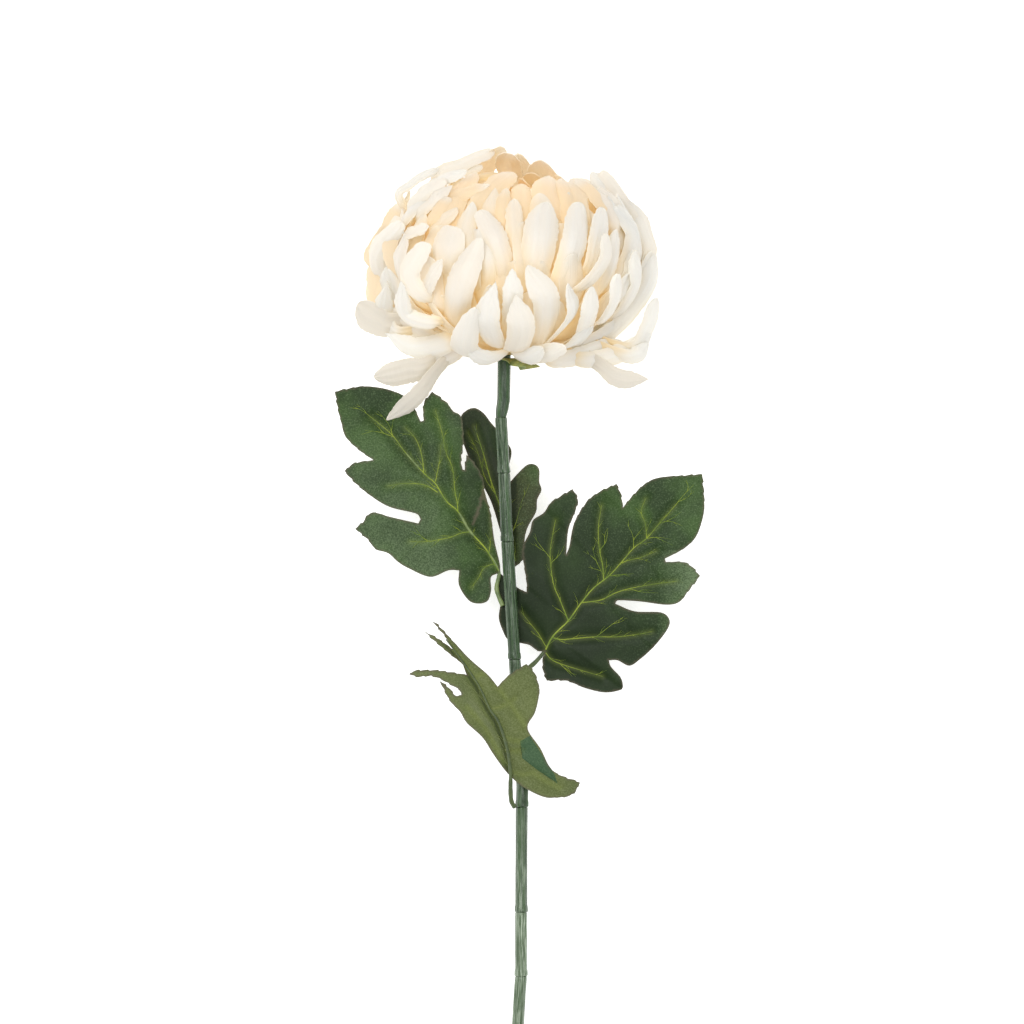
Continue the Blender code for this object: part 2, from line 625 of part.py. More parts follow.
def calyx(surface):
    """The green star of sepals under the head, round the stem's neck."""
    inner = NECK_RADIUS + CALYX_CLEARANCE
    foot = CORE_CENTRE.y - CORE_HALF_HEIGHT - TOUCH_GAP - CALYX_THICKNESS
    loop = []
    for turn in range(2 * len(SEPAL_REACHES)):
        angle = math.tau * turn / (2 * len(SEPAL_REACHES))
        reach = SEPAL_REACHES[turn // 2] * MM if turn % 2 == 0 else SEPAL_NOTCH
        loop.append((angle, reach))
    points = []
    for lift in (0.0, CALYX_THICKNESS):
        for angle, reach in loop:
            rise = foot + CALYX_FLARE * (reach - inner) + lift
            points.append(Vector((math.sin(angle) * reach, rise, math.cos(angle) * reach)))
        for angle, reach in loop:
            points.append(Vector((math.sin(angle) * inner, foot + lift, math.cos(angle) * inner)))
    count = len(loop)
    faces = []
    for turn in range(count):
        beside = (turn + 1) % count
        for base in (0, 2 * count):
            faces.append((base + turn, base + beside, base + count + beside, base + count + turn))
        faces.append((turn, beside, 2 * count + beside, 2 * count + turn))
        faces.append((count + turn, count + beside, 3 * count + beside, 3 * count + turn))
    return add_object("calyx", points, faces, surface)


def distance_to_line(x, y, line):
    """Distance to a polyline, with the side of it that the point is on and the share along it."""
    best = (math.inf, 1.0, 0.0)
    for index, ((ax, ay), (bx, by)) in enumerate(zip(line, line[1:])):
        dx, dy = bx - ax, by - ay
        share = max(0.0, min(1.0, ((x - ax) * dx + (y - ay) * dy) / (dx * dx + dy * dy)))
        gap = math.hypot(x - ax - dx * share, y - ay - dy * share)
        if gap < best[0]:
            turn = dx * (y - ay) - dy * (x - ax)
            best = (gap, math.copysign(1.0, turn), (index + share) / (len(line) - 1))
    return best


def left_height(x, y):
    """Height of the left blade, whose rib arches from the stem out to its tip."""
    gap, _, along = distance_to_line(x, y, LEFT_RIB)
    foot, arch, slope, curl = LEFT_FORM
    return foot + arch * math.sin(math.pi * along * LEFT_ARCH_LENGTH) + slope * gap - curl * gap ** 2


def right_height(x, y):
    """Height of the right blade: it starts behind the stem and rises to its tip."""
    gap, _, along = distance_to_line(x, y, RIGHT_RIB)
    foot, rise, slope, curl = RIGHT_FORM
    behind = RIGHT_STEM_SLOPE * min(0.0, x - RIGHT_STEM_SIDE)
    return foot + rise * along + behind + slope * gap - curl * gap ** 2


def back_height(x, y):
    """Height of the back blade, which stands clear behind the stem."""
    gap, _, along = distance_to_line(x, y, BACK_RIB)
    foot, arch, slope = BACK_FORM
    return foot + arch * math.sin(math.pi * 0.5 * along) + slope * gap


def lower_height(x, y):
    """Height of the lower blade: folded along its rib in front of the stem, with its back to the front."""
    gap, side, along = distance_to_line(x, y, LOWER_RIB)
    foot, rise = LOWER_FORM
    left_fall, right_fall = LOWER_FOLD
    return foot + rise * along - (left_fall if side > 0 else right_fall) * gap


def inside(x, y, outline):
    """Whether a point is inside a closed outline."""
    found = False
    for (ax, ay), (bx, by) in zip(outline, outline[1:] + outline[:1]):
        if (ay > y) != (by > y) and x < (bx - ax) * (y - ay) / (by - ay) + ax:
            found = not found
    return found


def points_within(outline, rib):
    """Points spread evenly over an outline, clear of its edge and of its rib."""
    spacing = BLADE_SPACING / MM
    closed = outline + outline[:1]
    points = []
    xs = [x for x, _ in outline]
    ys = [y for _, y in outline]
    rows = int((max(ys) - min(ys)) / (spacing * ROW_SHARE)) + 1
    columns = int((max(xs) - min(xs)) / spacing) + 1
    for row in range(rows):
        for column in range(columns):
            x = min(xs) + (column + 0.5 * (row % 2)) * spacing
            y = min(ys) + (row + 0.5) * spacing * ROW_SHARE
            off_rib = distance_to_line(x, y, rib)[0] > spacing * RIB_SHARE
            off_edge = distance_to_line(x, y, closed)[0] > spacing * EDGE_SHARE
            if inside(x, y, outline) and off_rib and off_edge:
                points.append((x, y))
    return points


def blade(name, outline, rib, height, surface):
    """A leaf blade: its outline filled with triangles, lifted to its form and given a thickness."""
    count = len(outline)
    ridge = [p for p in rib if inside(*p, outline)]
    points = [Vector(p) for p in (*outline, *ridge, *points_within(outline, rib))]
    edges = [(i, (i + 1) % count) for i in range(count)]
    edges += [(i, i + 1) for i in range(count, count + len(ridge) - 1)]
    flat, _, triangles, _, _, _ = delaunay_2d_cdt(points, edges, [list(range(count))], 1, 1e-5)
    top = [Vector((x, y, height(x, y))) * MM for x, y in flat]
    under = [v - Vector((0, 0, BLADE_THICKNESS)) for v in top]
    size = len(top)
    faces = [tuple(t) for t in triangles]
    uses = {}
    for a, b, c in faces:
        for pair in ((a, b), (b, c), (c, a)):
            uses[frozenset(pair)] = pair if frozenset(pair) not in uses else None
    walls = []
    for pair in uses.values():
        if pair:
            a, b = pair
            walls += [(b, a, size + a), (b, size + a, size + b)]
    faces += [(size + c, size + b, size + a) for a, b, c in faces]
    return add_object(name, top + under, faces + walls, surface)


def rib_and_stalk(name, rib, height, under, stalk, surface):
    """The moulded rib behind a blade and the stalk that carries it from the stem."""
    drop = (BLADE_THICKNESS + RIB_RADIUS + TOUCH_GAP) if under else -(RIB_RADIUS + TOUCH_GAP)
    stations = []
    for x, y, z in stalk:
        stations.append((Vector((x, y, z)) * MM, STALK_RADIUS))
    last = len(rib) - 1
    for index, (x, y) in enumerate(rib):
        radius = RIB_RADIUS * (1 - RIB_TAPER * index / last)
        stations.append((Vector((x, y, height(x, y))) * MM - Vector((0, 0, drop)), radius))
    return ring_body(name, stations, RIB_SIDES, surface, level=False)


def lay_down(pieces):
    """Lay the whole flower on the surface, with the zero point under the middle of its box."""
    bed = bpy.data.objects.new("lying", None)
    bpy.context.scene.collection.objects.link(bed)
    bed.rotation_euler = (LYING_PITCH, 0, 0)
    turn = bed.rotation_euler.to_matrix()
    corners = [turn @ v.co for piece in pieces for v in piece.data.vertices]
    middle = [(min(c[axis] for c in corners) + max(c[axis] for c in corners)) / 2 for axis in (0, 1)]
    bed.location = (-middle[0], -middle[1], -min(c.z for c in corners))
    for piece in pieces:
        piece.parent = bed


def main():
    """Build every piece and lay the flower down."""
    clear_scene()
    petal_cloth = material("petal_cloth", (0.93, 0.82, 0.62), 0.6)
    leaf_cloth = material("leaf_cloth", (0.035, 0.10, 0.035), 0.7)
    leaf_back_cloth = material("leaf_back_cloth", (0.12, 0.17, 0.05), 0.75)
    green_plastic = material("green_plastic", (0.05, 0.13, 0.08), 0.45)
    pale_plastic = material("pale_plastic", (0.20, 0.30, 0.10), 0.5)
    steel = material("steel", (0.55, 0.55, 0.55), 0.35, 1.0)
    pieces = [bloom(petal_cloth), calyx(pale_plastic), stem_wire(steel)]
    pieces += stem_sleeves(green_plastic)
    pieces.append(blade("leaf_left", LEFT_OUTLINE, LEFT_RIB, left_height, leaf_cloth))
    pieces.append(blade("leaf_right", RIGHT_OUTLINE, RIGHT_RIB, right_height, leaf_cloth))
    pieces.append(blade("leaf_back", BACK_OUTLINE, BACK_RIB, back_height, leaf_cloth))
    pieces.append(blade("leaf_lower", LOWER_OUTLINE, LOWER_RIB, lower_height, leaf_back_cloth))
    pieces.append(rib_and_stalk("rib_left", LEFT_RIB, left_height, True, LEFT_STALK, pale_plastic))
    pieces.append(rib_and_stalk("rib_right", RIGHT_RIB, right_height, True, RIGHT_STALK, pale_plastic))
    pieces.append(rib_and_stalk("rib_back", BACK_RIB, back_height, True, BACK_STALK, pale_plastic))
    pieces.append(rib_and_stalk("rib_lower", LOWER_RIB, lower_height, False, LOWER_STALK, pale_plastic))
    lay_down(pieces)


main()
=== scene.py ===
"""The looks of a cut stem of a cream chrysanthemum in silk and plastic, lying on a pale surface.

The flower is drawn upright in its own frame: +Y runs up the stem, +X to the flower's right, +Z out of
its front, with the zero point where the stem meets the bloom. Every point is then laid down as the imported
part lies. Tables give millimetres, and everything else is in metres.
"""

import json
import math
import random

import bpy
import numpy as np
from mathutils import Matrix, Vector
from mathutils.geometry import delaunay_2d_cdt

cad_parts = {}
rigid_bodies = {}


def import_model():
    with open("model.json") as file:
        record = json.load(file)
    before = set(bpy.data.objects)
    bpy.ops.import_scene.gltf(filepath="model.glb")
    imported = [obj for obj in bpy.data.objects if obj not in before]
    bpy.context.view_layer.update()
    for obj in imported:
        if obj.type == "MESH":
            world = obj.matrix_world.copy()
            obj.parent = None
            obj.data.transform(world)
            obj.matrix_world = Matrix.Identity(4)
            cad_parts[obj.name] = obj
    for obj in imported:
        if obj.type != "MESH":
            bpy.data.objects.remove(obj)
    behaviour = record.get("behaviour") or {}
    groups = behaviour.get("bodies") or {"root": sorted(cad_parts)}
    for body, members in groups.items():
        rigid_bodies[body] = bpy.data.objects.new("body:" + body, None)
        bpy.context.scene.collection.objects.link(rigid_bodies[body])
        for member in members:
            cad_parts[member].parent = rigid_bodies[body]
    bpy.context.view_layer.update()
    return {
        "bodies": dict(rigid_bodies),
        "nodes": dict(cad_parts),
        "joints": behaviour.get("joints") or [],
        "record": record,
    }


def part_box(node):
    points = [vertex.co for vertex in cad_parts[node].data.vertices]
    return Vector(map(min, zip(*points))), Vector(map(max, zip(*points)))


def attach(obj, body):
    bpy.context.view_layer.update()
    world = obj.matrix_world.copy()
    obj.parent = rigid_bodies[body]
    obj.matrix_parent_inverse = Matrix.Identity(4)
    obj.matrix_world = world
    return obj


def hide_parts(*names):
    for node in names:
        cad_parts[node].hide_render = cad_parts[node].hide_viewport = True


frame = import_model()

bl_info = {
    "name": "Cut Chrysanthemum",
    "version": (1, 0, 0),
    "blender": (4, 5, 0),
    "location": "View3D > Sidebar > Chrysanthemum",
    "description": "Dresses the packed chrysanthemum stem in woven petals, veined leaves and moulded stem",
    "category": "Add Mesh",
}

MM = 0.001

# Bloom: an oblate ball of petals whose axis leans towards the front
BLOOM_RADIUS = 68 * MM
BLOOM_HALF_HEIGHT = 51 * MM
BLOOM_LEAN = math.radians(12)
BLOOM_CENTRE = Vector((3.5, 49, 3)) * MM
CORE_CENTRE = Vector((1, 30, 2)) * MM
CORE_RADIUS = 35.5 * MM
CORE_HALF_HEIGHT = 24.5 * MM
PETAL_SEED = 11
LOW_DEPTH = 0.86
BELLY_DEPTH = 0.96
WHORL_LOW_DEPTH = 0.78
WHORL_BELLY_DEPTH = 0.93
WHORL_SPAN = 64
ROOT_SHARE = 0.8
FLAT_ROLL = 70

# Places along a petal: where it comes in sight, leans, curls and rounds off, where its end's rim begins and
# where it ends
SHOWN_START = 0.30
LEAN_START = 0.7
CURL_START = 0.72
TIP_START = 0.78
RIM_START = 0.9
PETAL_END = 1.03

# Heights over the ground: what every petal keeps, and what the free ones and those at the sides add
GROUND_GAP = 0.05 * MM
FREE_HEIGHT = 0.6 * MM
SIDE_HEIGHT = 0.3 * MM

# Petals that face the front: where each leaves the others, its belly and its tip, then its width, how far
# out in the ball it lies, which half of the ball it is on, and its roll in degrees
SEEN_PETALS = (
    ((-31, 86), (-19, 95), (-6, 101), 8, 1.0, 0, 50),
    ((-34, 82), (-24, 90), (-12, 95), 7, 0.96, 0, 40),
    ((-24, 82), (-14, 88), (-3, 91), 7, 0.92, 0, 35),
    ((55, 70), (49, 83), (41, 90), 9, 0.95, 0, -55),
    ((61, 65), (56, 78), (47, 91), 8, 1.0, 0, -50),
    ((66, 49), (66, 64), (60, 77), 9, 1.0, 0, -50),
    ((50, 35), (62, 59), (51, 78), 14, 0.95, 1, 0),
    ((49, 75), (41, 83), (32, 88), 9, 0.9, 0, -50),
    ((-48, 76), (-43, 86), (-32, 93), 5, 1.0, 0, 55),
    ((-48, 60), (-45, 72), (-34, 82), 11, 0.93, 1, 0),
    ((-45, 59), (-42, 62), (-36, 64), 6, 0.97, 1, 0),
    ((-34, 61), (-30, 66), (-23, 72), 8, 0.86, 1, 0),
    ((-51, 34), (-60, 50), (-49, 64), 9, 0.98, 1, 55),
    ((-44, 29), (-50, 45), (-47, 59), 10, 0.92, 1, 0),
    ((-35, 30), (-44, 41), (-38, 55), 9, 1.0, 1, 30),
    ((-35, 32), (-34, 39), (-29, 47), 7, 0.95, 1, 0),
    ((-49, 15), (-56, 25), (-54, 36), 8, 0.97, 1, 50),
    ((-31, 19), (-46, 23), (-47, 36), 8, 1.0, 1, 30),
    ((-25, 11), (-42, 7), (-55, 14), 11, 1.0, 1, 45),
    ((-20, 6), (-31, 2), (-36, 8), 11, 0.97, 1, 50),
    ((-24, 39), (-27, 51), (-24, 63), 16, 0.9, 1, 0),
    ((-24, 10), (-22, 32), (-14, 56), 13, 0.95, 1, 0),
    ((-8, 30), (-8, 46), (-11, 60), 8, 0.88, 1, 0),
    ((1, 37), (-3, 56), (-9, 71), 10, 0.91, 1, 0),
    ((5, 48), (5, 62), (5, 76), 8, 0.87, 1, 0),
    ((13, 37), (17, 58), (19, 75), 15, 0.92, 1, 0),
    ((23, 30), (33, 55), (35, 75), 12, 0.92, 1, 0),
    ((35, 34), (47, 47), (49, 59), 9, 0.98, 1, 20),
    ((38, 41), (44, 59), (47, 72), 9, 0.92, 1, 0),
    ((34, 9), (40, 21), (41, 34), 9, 1.0, 1, 0),
    ((15, 6), (32, 22), (31, 35), 9, 0.96, 1, 30),
    ((44, 19), (52, 28), (53, 40), 8, 1.0, 1, 0),
    ((50, 21), (62, 36), (61, 51), 8, 0.97, 1, -20),
    ((46, 12), (67, 35), (70, 51), 10, 1.0, 0, -50),
    ((58, 7), (68, 18), (71, 31), 10, 1.0, 0, -45),
    ((21, 2), (38, 4), (54, 11), 10, 1.0, 1, -50),
    ((35, 2), (58, 6), (68, 14), 10, 1.0, 0, -55),
    ((5, 4), (16, 4), (26, 8), 9, 0.96, 1, -50),
    ((26, 8), (34, 10), (41, 16), 9, 0.94, 1, 0),
    ((3, 8), (4, 28), (4, 42), 9, 0.96, 1, 0),
    ((16, 8), (20, 28), (11, 42), 12, 0.98, 1, 0),
    ((-3, 8), (-8, 19), (-5, 35), 11, 0.98, 1, 0),
    ((5, 6), (8, 16), (5, 29), 12, 1.02, 1, 0),
    ((-6, 4), (-18, 6), (-15, 23), 12, 1.0, 1, 20),
    ((-34, 0), (-46, -3), (-59, -7), 12, 1.0, 0, 70),
    ((-29, 0), (-40, -14), (-53, -25), 9, 1.0, 0, 70),
    ((-52, 19), (-60, 21), (-69, 26), 13, 1.0, 0, 70),
    ((43, 1), (53, -6), (66, -7), 9, 1.0, 0, -70),
    ((53, 4), (63, 4), (68, 9), 10, 1.0, 0, -45),
)

# The same for petals that fill in between and behind those
FILLING_PETALS = (
    ((-44, 70), (-38, 80), (-29, 87), 8, 0.98, 1, 30),
    ((-41, 76), (-32, 85), (-19, 91), 7, 0.96, 1, 30),
    ((-40, 66), (-34, 76), (-26, 84), 7, 0.93, 1, 20),
    ((-15, 62), (-14, 72), (-11, 81), 6, 0.84, 1, 10),
    ((-8, 60), (-7, 72), (-4, 82), 7, 0.86, 1, 0),
    ((50, 60), (48, 74), (42, 84), 9, 0.93, 1, -25),
    ((58, 58), (54, 73), (46, 83), 8, 0.95, 1, -25),
    ((60, 44), (62, 60), (55, 74), 9, 0.95, 1, -25),
    ((-28, 10), (-44, 17), (-54, 25), 11, 0.9, 1, 35),
    ((2, 6), (-6, 2.5), (-15, 4), 9, 0.97, 1, 40),
    ((3, 6), (9, 2.5), (17, 5), 9, 0.97, 1, -40),
    ((-40, 22), (-53, 30), (-57, 44), 11, 0.93, 1, 30),
    ((44, 24), (58, 38), (62, 52), 11, 0.92, 1, -20),
    ((30, 8), (46, 12), (58, 22), 11, 0.92, 1, -35),
    ((40, 30), (50, 46), (52, 62), 9, 0.9, 1, -10),
)

# Petals that turn their inner side to the front, painted golden as warm shade: behind the crown, at the left
# edge and in hollows
GOLDEN_PETALS = (
    ((5, 81), (3, 92), (0, 101), 11, 0.96, -1, 0),
    ((12, 82), (10, 92), (6, 100), 9, 1.0, -1, 0),
    ((20, 75), (20, 86), (17, 98), 14, 0.95, -1, 0),
    ((8, 68), (8, 77), (7, 85), 10, 0.8, -1, 0),
    ((-13, 85), (-9, 95), (-2.5, 103), 10, 1.0, -1, 0),
    ((-14, 68), (-7, 80), (3, 91), 10, 0.87, 1, 20),
    ((-24, 62), (-22, 77), (-14, 91), 10, 0.87, 1, 10),
    ((-55, 56), (-53, 66), (-48, 76), 10, 0.94, 0, 55),
    ((-60, 48), (-60, 57), (-54, 66), 10, 0.97, 0, 55),
    ((-58, 28), (-62, 40), (-59, 51), 10, 0.99, 0, 50),
    ((-47, 40), (-54, 54), (-50, 68), 9, 0.95, 1, 25),
    ((-33, 62), (-31, 71), (-27, 78), 7, 0.88, 1, 20),
    ((-30, 72), (-20, 79), (-8, 83), 7, 0.88, 1, 30),
    ((-17, 58), (-16, 68), (-14, 77), 6, 0.82, 1, 0),
    ((-8, 58), (-8, 68), (-6, 79), 6, 0.82, 1, 0),
    ((-1, 60), (-1, 72), (0, 82), 6, 0.86, 1, 0),
    ((8, 60), (9, 73), (8, 85), 10, 0.84, 1, 0),
    ((19, 62), (20, 76), (19, 88), 13, 0.86, 1, 0),
    ((29, 62), (31, 76), (27, 87), 10, 0.87, 1, -5),
    ((36, 62), (36, 76), (32, 87), 8, 0.9, 1, -10),
    ((47, 66), (43, 78), (35, 87), 7, 0.93, 1, -25),
)

# Whorls that fill the rest of the ball: petals all round, tip's angle from the bloom's axis in degrees,
# how far out, width, and whether the whorl is left to the petals above at the front
WHORLS = (
    (13, 128, 0.97, 11, True),
    (14, 108, 1.0, 11, True),
    (14, 88, 1.0, 11, True),
    (12, 68, 0.97, 11, True),
    (10, 50, 0.95, 10, True),
    (11, 84, 0.82, 12, False),
    (9, 60, 0.80, 12, False),
    (7, 38, 0.86, 12, False),
    (6, 20, 0.82, 12, False),
)
FRONT_SECTOR = math.radians(80)
BACK_SECTOR = math.radians(150)

# Petals inside the head, which close the gaps between the larger ones and lie deeper at the front
FRONT_SINK = 0.06
INNER_WHORLS = (
    (22, 116, 0.88, 14),
    (24, 98, 0.90, 14),
    (24, 80, 0.90, 14),
    (21, 63, 0.89, 14),
    (16, 47, 0.84, 13),
    (11, 31, 0.79, 12),
    (7, 14, 0.74, 11),
)

# Stem's centreline, and the places where one length ends and the next begins
STEM_LINE = ((0, 0), (-0.2, -16), (-1.4, -24), (0, -50), (1, -72), (1.5, -82), (3.5, -113), (5, -137),
             (8.5, -196), (8.2, -208), (8, -255), (8, -284), (7.4, -292), (6.5, -307), (5.4, -347))
STEM_JOINTS = (-24, -50, -82, -137, -206, -255, -285)
STEM_TOP = 8 * MM
STEM_END_Y = -347 * MM
STEM_END_RADIUS = 2.8 * MM
STEM_RADIUS = 2.8 * MM
NECK_RADIUS = 3.1 * MM
WAIST_RADIUS = 2.3 * MM
COLLAR_RADIUS = 3.1 * MM
BORE_RADIUS = 1.55 * MM
SLEEVE_GAP = 0.06 * MM
RING_STEP = 1.2 * MM
SLEEVE_WEAR = (0.12, 0.35, 0.35, 0.3, 0.5, 0.6, 1.0, 0.8)
LYING_PITCH = math.radians(7.6)

# Calyx: a star of sepals, with each one's reach from the front round to the right, and how far those
# between the front and the right droop
SEPAL_REACHES = (14, 16, 17, 13, 12, 12, 11, 12, 13)
SEPAL_NOTCH = 8.5
SEPAL_DROOP = 5.0
SEPAL_DROOP_AT = math.radians(60)
CALYX_Y = 2.8 * MM

# Leaf outlines, each from where the stalk joins the blade and back to it, and their midribs
LEFT_OUTLINE = (
    (-1.8, -95), (-6, -98.5), (-6, -104.5), (-7.5, -109.5), (-11.5, -111), (-16.5, -109.5), (-21, -102.5),
    (-21, -95.5), (-26, -95.5), (-34.5, -98.5), (-44.5, -94.5), (-49.5, -91.5), (-54, -87.5), (-60, -85.5),
    (-63.5, -81), (-69.5, -76), (-65.5, -72.5), (-63.5, -69.5), (-60, -68.5), (-53, -70.5), (-40, -73.5),
    (-39, -71.5), (-41, -69), (-53, -66), (-61, -61.5), (-68.5, -55.5), (-74.5, -49), (-70, -45.5),
    (-61, -44), (-68, -39), (-74, -33), (-76, -26.5), (-77.5, -20.5), (-79, -12), (-72, -10.5),
    (-66, -9.5), (-59, -10), (-52.5, -11.5), (-46, -14.5), (-42, -19.5), (-39, -26), (-37.5, -25.5),
    (-37.5, -17.5), (-33.5, -12), (-26.5, -17.5), (-24, -21), (-20, -24), (-19, -34.5), (-20, -43),
    (-19.5, -48.5), (-18.5, -48.5), (-17.5, -41.5), (-13.5, -46), (-10, -52.5), (-9.5, -56),
    (-11.5, -65.5), (-14.5, -74), (-9.5, -60), (-6.5, -68), (-4.5, -81.5),
)
RIGHT_OUTLINE = (
    (19, -133.5), (15.5, -133), (12, -130.5), (8, -129.5), (2, -128), (-0.5, -124), (-2.5, -117.5),
    (-1.5, -109.5), (-3, -103.5), (-2, -97), (3, -100), (7, -104), (10.5, -105.5), (10.5, -101.5),
    (9, -90.5), (9, -84), (12, -77.5), (13.5, -72), (18.5, -68.5), (22, -63.5), (27, -60.5),
    (32, -57.5), (34.5, -62.5), (33, -68.5), (30, -76.5), (29, -88), (30.5, -84), (32.5, -74),
    (37, -65.5), (42.5, -60), (52.5, -55), (54.5, -60), (55.5, -66), (60.5, -60), (66.5, -54.5),
    (73, -52), (85.5, -51), (92.5, -50.5), (93.5, -65), (92, -73.5), (89, -80.5), (83.5, -85.5),
    (75, -90), (75.5, -91.5), (85, -92), (91.5, -98), (86, -105), (82, -110), (76, -111.5),
    (63.5, -110), (53, -109.5), (52, -111), (61, -114.5), (73, -115), (77, -118), (76.5, -122.5),
    (70.5, -130.5), (63.5, -137), (58.5, -140), (53, -137.5), (49, -137.5), (50, -140.5),
    (54.5, -145.5), (55.5, -150), (54, -151.5), (47, -152.5), (38, -150.5), (29, -147), (20, -147),
    (18.5, -143), (18, -138),
)
BACK_OUTLINE = (
    (5.5, -93.5), (1, -87), (-2, -76.5), (-6.5, -62.5), (-14, -48.5), (-19.5, -34.5), (-20.5, -24.5),
    (-17.5, -20.5), (-13.5, -19.5), (-9.5, -22), (-6, -26.5), (-2, -31), (2, -36.5), (3.5, -40.5),
    (2, -48.5), (2.5, -54.5), (6.5, -50), (11, -46), (14.5, -46), (16.5, -48.5), (16.5, -54),
    (17.5, -58), (15.5, -62.5), (15, -68), (11, -75.5), (9.5, -81.5), (8.5, -90.5),
)
LOWER_OUTLINE = (
    (3.5, -192), (-0.5, -187.5), (-5.5, -180.5), (-10, -173.5), (-17.5, -166.5), (-20.5, -161.5),
    (-25.5, -156), (-30, -147), (-26, -150), (-22.5, -154), (-20, -153.5), (-20.5, -151.5),
    (-26, -148), (-33, -144.8), (-40, -145.2), (-44.5, -144), (-41, -142.2), (-30, -142.2),
    (-17.5, -144), (-19.5, -139), (-24.5, -135), (-31, -129.5), (-37, -124), (-30, -127.6),
    (-24, -132), (-27.5, -126), (-33.5, -119), (-31, -120.5), (-23, -129), (-16, -136.5),
    (-7.5, -144), (-3, -149.5), (2, -144.5), (10.5, -139), (14, -143), (16, -148.5), (16.5, -152.5),
    (14.5, -161.5), (11, -169), (17, -178.5), (23, -189), (35.5, -194.5), (32, -200), (24.5, -201.5),
    (18, -201), (9, -196.5),
)
LEFT_RIB = ((-2.5, -95.5), (-8.5, -85.5), (-16, -77), (-21.5, -68), (-27, -63), (-32, -55), (-37, -50.5),
            (-46, -40.5), (-52.5, -32), (-62, -24))
RIGHT_RIB = ((19.5, -132.5), (23, -126), (30, -119), (35, -112), (41.5, -104), (49, -98), (54.5, -92),
             (60.5, -85), (66.5, -80.5), (72.5, -73.5), (80, -65))
BACK_RIB = ((5, -91), (3, -80), (-1, -68), (-6, -54), (-10, -40), (-14, -28))
LOWER_RIB = ((3, -190), (2, -181), (0, -173), (-3, -165), (-6.5, -160), (-12, -148.5), (-20.5, -136),
             (-27, -127.5))

# Side veins: each with its width at the start, then its points
LEFT_VEINS = (
    (0.6, (-31, -59), (-36, -56), (-41, -55), (-48, -55), (-54, -56)),
    (0.6, (-16, -77.5), (-20, -78), (-25, -80), (-30, -81), (-35.5, -82), (-44, -82)),
    (0.4, (-35.5, -82), (-39, -79), (-42, -75)),
    (0.5, (-4, -92.5), (-7, -93), (-10, -95), (-12, -99), (-15.5, -103.5)),
    (0.6, (-21.5, -68), (-22, -63), (-23, -58), (-24, -48), (-27, -40.5), (-29, -31), (-32, -21)),
    (0.5, (-32, -54), (-31, -49), (-30, -43.5), (-29.5, -37)),
    (0.6, (-37.5, -49.5), (-38, -44), (-39.5, -38), (-42, -33), (-46, -29)),
    (0.4, (-52, -32.5), (-54, -27), (-59, -21)),
    (0.4, (-52, -33), (-58, -31), (-65, -30)),
    (0.6, (-7, -87), (-6, -79), (-6, -69), (-7, -63), (-9.5, -57)),
    (0.4, (-62, -24), (-66, -21), (-70.5, -19)),
)
RIGHT_VEINS = (
    (0.7, (46.5, -100.5), (46, -93), (44.5, -85.5), (44, -75.5), (45.5, -65)),
    (0.4, (44.8, -86), (47.5, -82), (48.5, -76)),
    (0.4, (46.5, -98), (43, -91), (41, -84)),
    (0.7, (30, -119), (26, -109), (23, -101.5), (21.5, -88.5), (22.5, -80), (24, -72)),
    (0.4, (21.8, -90), (17, -84), (13.5, -79)),
    (0.4, (22, -92), (26, -88), (28, -84)),
    (0.5, (19.5, -131), (16, -125), (12, -120), (8, -115)),
    (0.5, (54.5, -92), (59, -90.5), (63.5, -89.5), (71, -86.5)),
    (0.4, (49, -98), (54, -97.5), (60.5, -97)),
    (0.7, (36.5, -110.5), (41, -110), (46, -109), (52, -106), (58.5, -104), (69, -102), (80.5, -100.5)),
    (0.4, (58.5, -104), (64, -105.5), (72, -106)),
    (0.7, (23, -127), (27, -127.8), (31, -127.5), (43, -126.5), (52.5, -126.5), (61, -125.5), (69, -124)),
    (0.4, (43, -126.5), (50, -121), (56, -117)),
    (0.6, (19.5, -134), (22, -137), (26, -139), (35.5, -142), (46, -145)),
    (0.4, (26, -139), (29, -142), (32, -145)),
    (0.5, (66.5, -80.5), (66, -74), (64, -68), (66, -62)),
    (0.4, (66.5, -80.5), (72, -80), (78, -81)),
    (0.4, (72.5, -73.5), (77, -72), (83, -68)),
    (0.4, (80, -65), (84, -60), (88.5, -55.5)),
    (0.4, (60.5, -85), (60, -79), (57, -73)),
)
BACK_VEINS = (
    (0.5, (-4, -60), (-9, -52), (-12.5, -40), (-17, -31)),
    (0.4, (3, -80), (6, -72), (8, -64), (12, -55)),
    (0.4, (-1, -68), (3, -60), (1, -48)),
)
LOWER_VEINS = (
    (0.9, (-6.5, -160), (-2, -159), (1.5, -157.5), (5, -155)),
    (0.9, (0.5, -179), (4, -179.5), (8, -179.5)),
    (0.7, (-12.5, -144.5), (-10, -143.5), (-8, -143)),
    (0.5, (0, -173), (4, -174.5), (7.5, -175)),
    (0.5, (-4, -147), (-2, -151), (4, -159), (10, -168)),
    (0.5, (3, -189), (9, -190.5), (14, -190), (19, -193.5), (26, -197)),
    (0.5, (2.5, -187), (-2, -181), (-8, -170), (-17, -159)),
    (0.4, (0, -178), (-6, -167), (-16, -154)),
    (0.4, (-6, -160.5), (-14, -151), (-22, -144)),
)

# The part of the lower leaf's cloth that shows the other side's colour
TURNED_PATCH = ((12, -172.5), (7.5, -175), (8.5, -183), (15.5, -188.5), (25, -195), (23.5, -190.5))

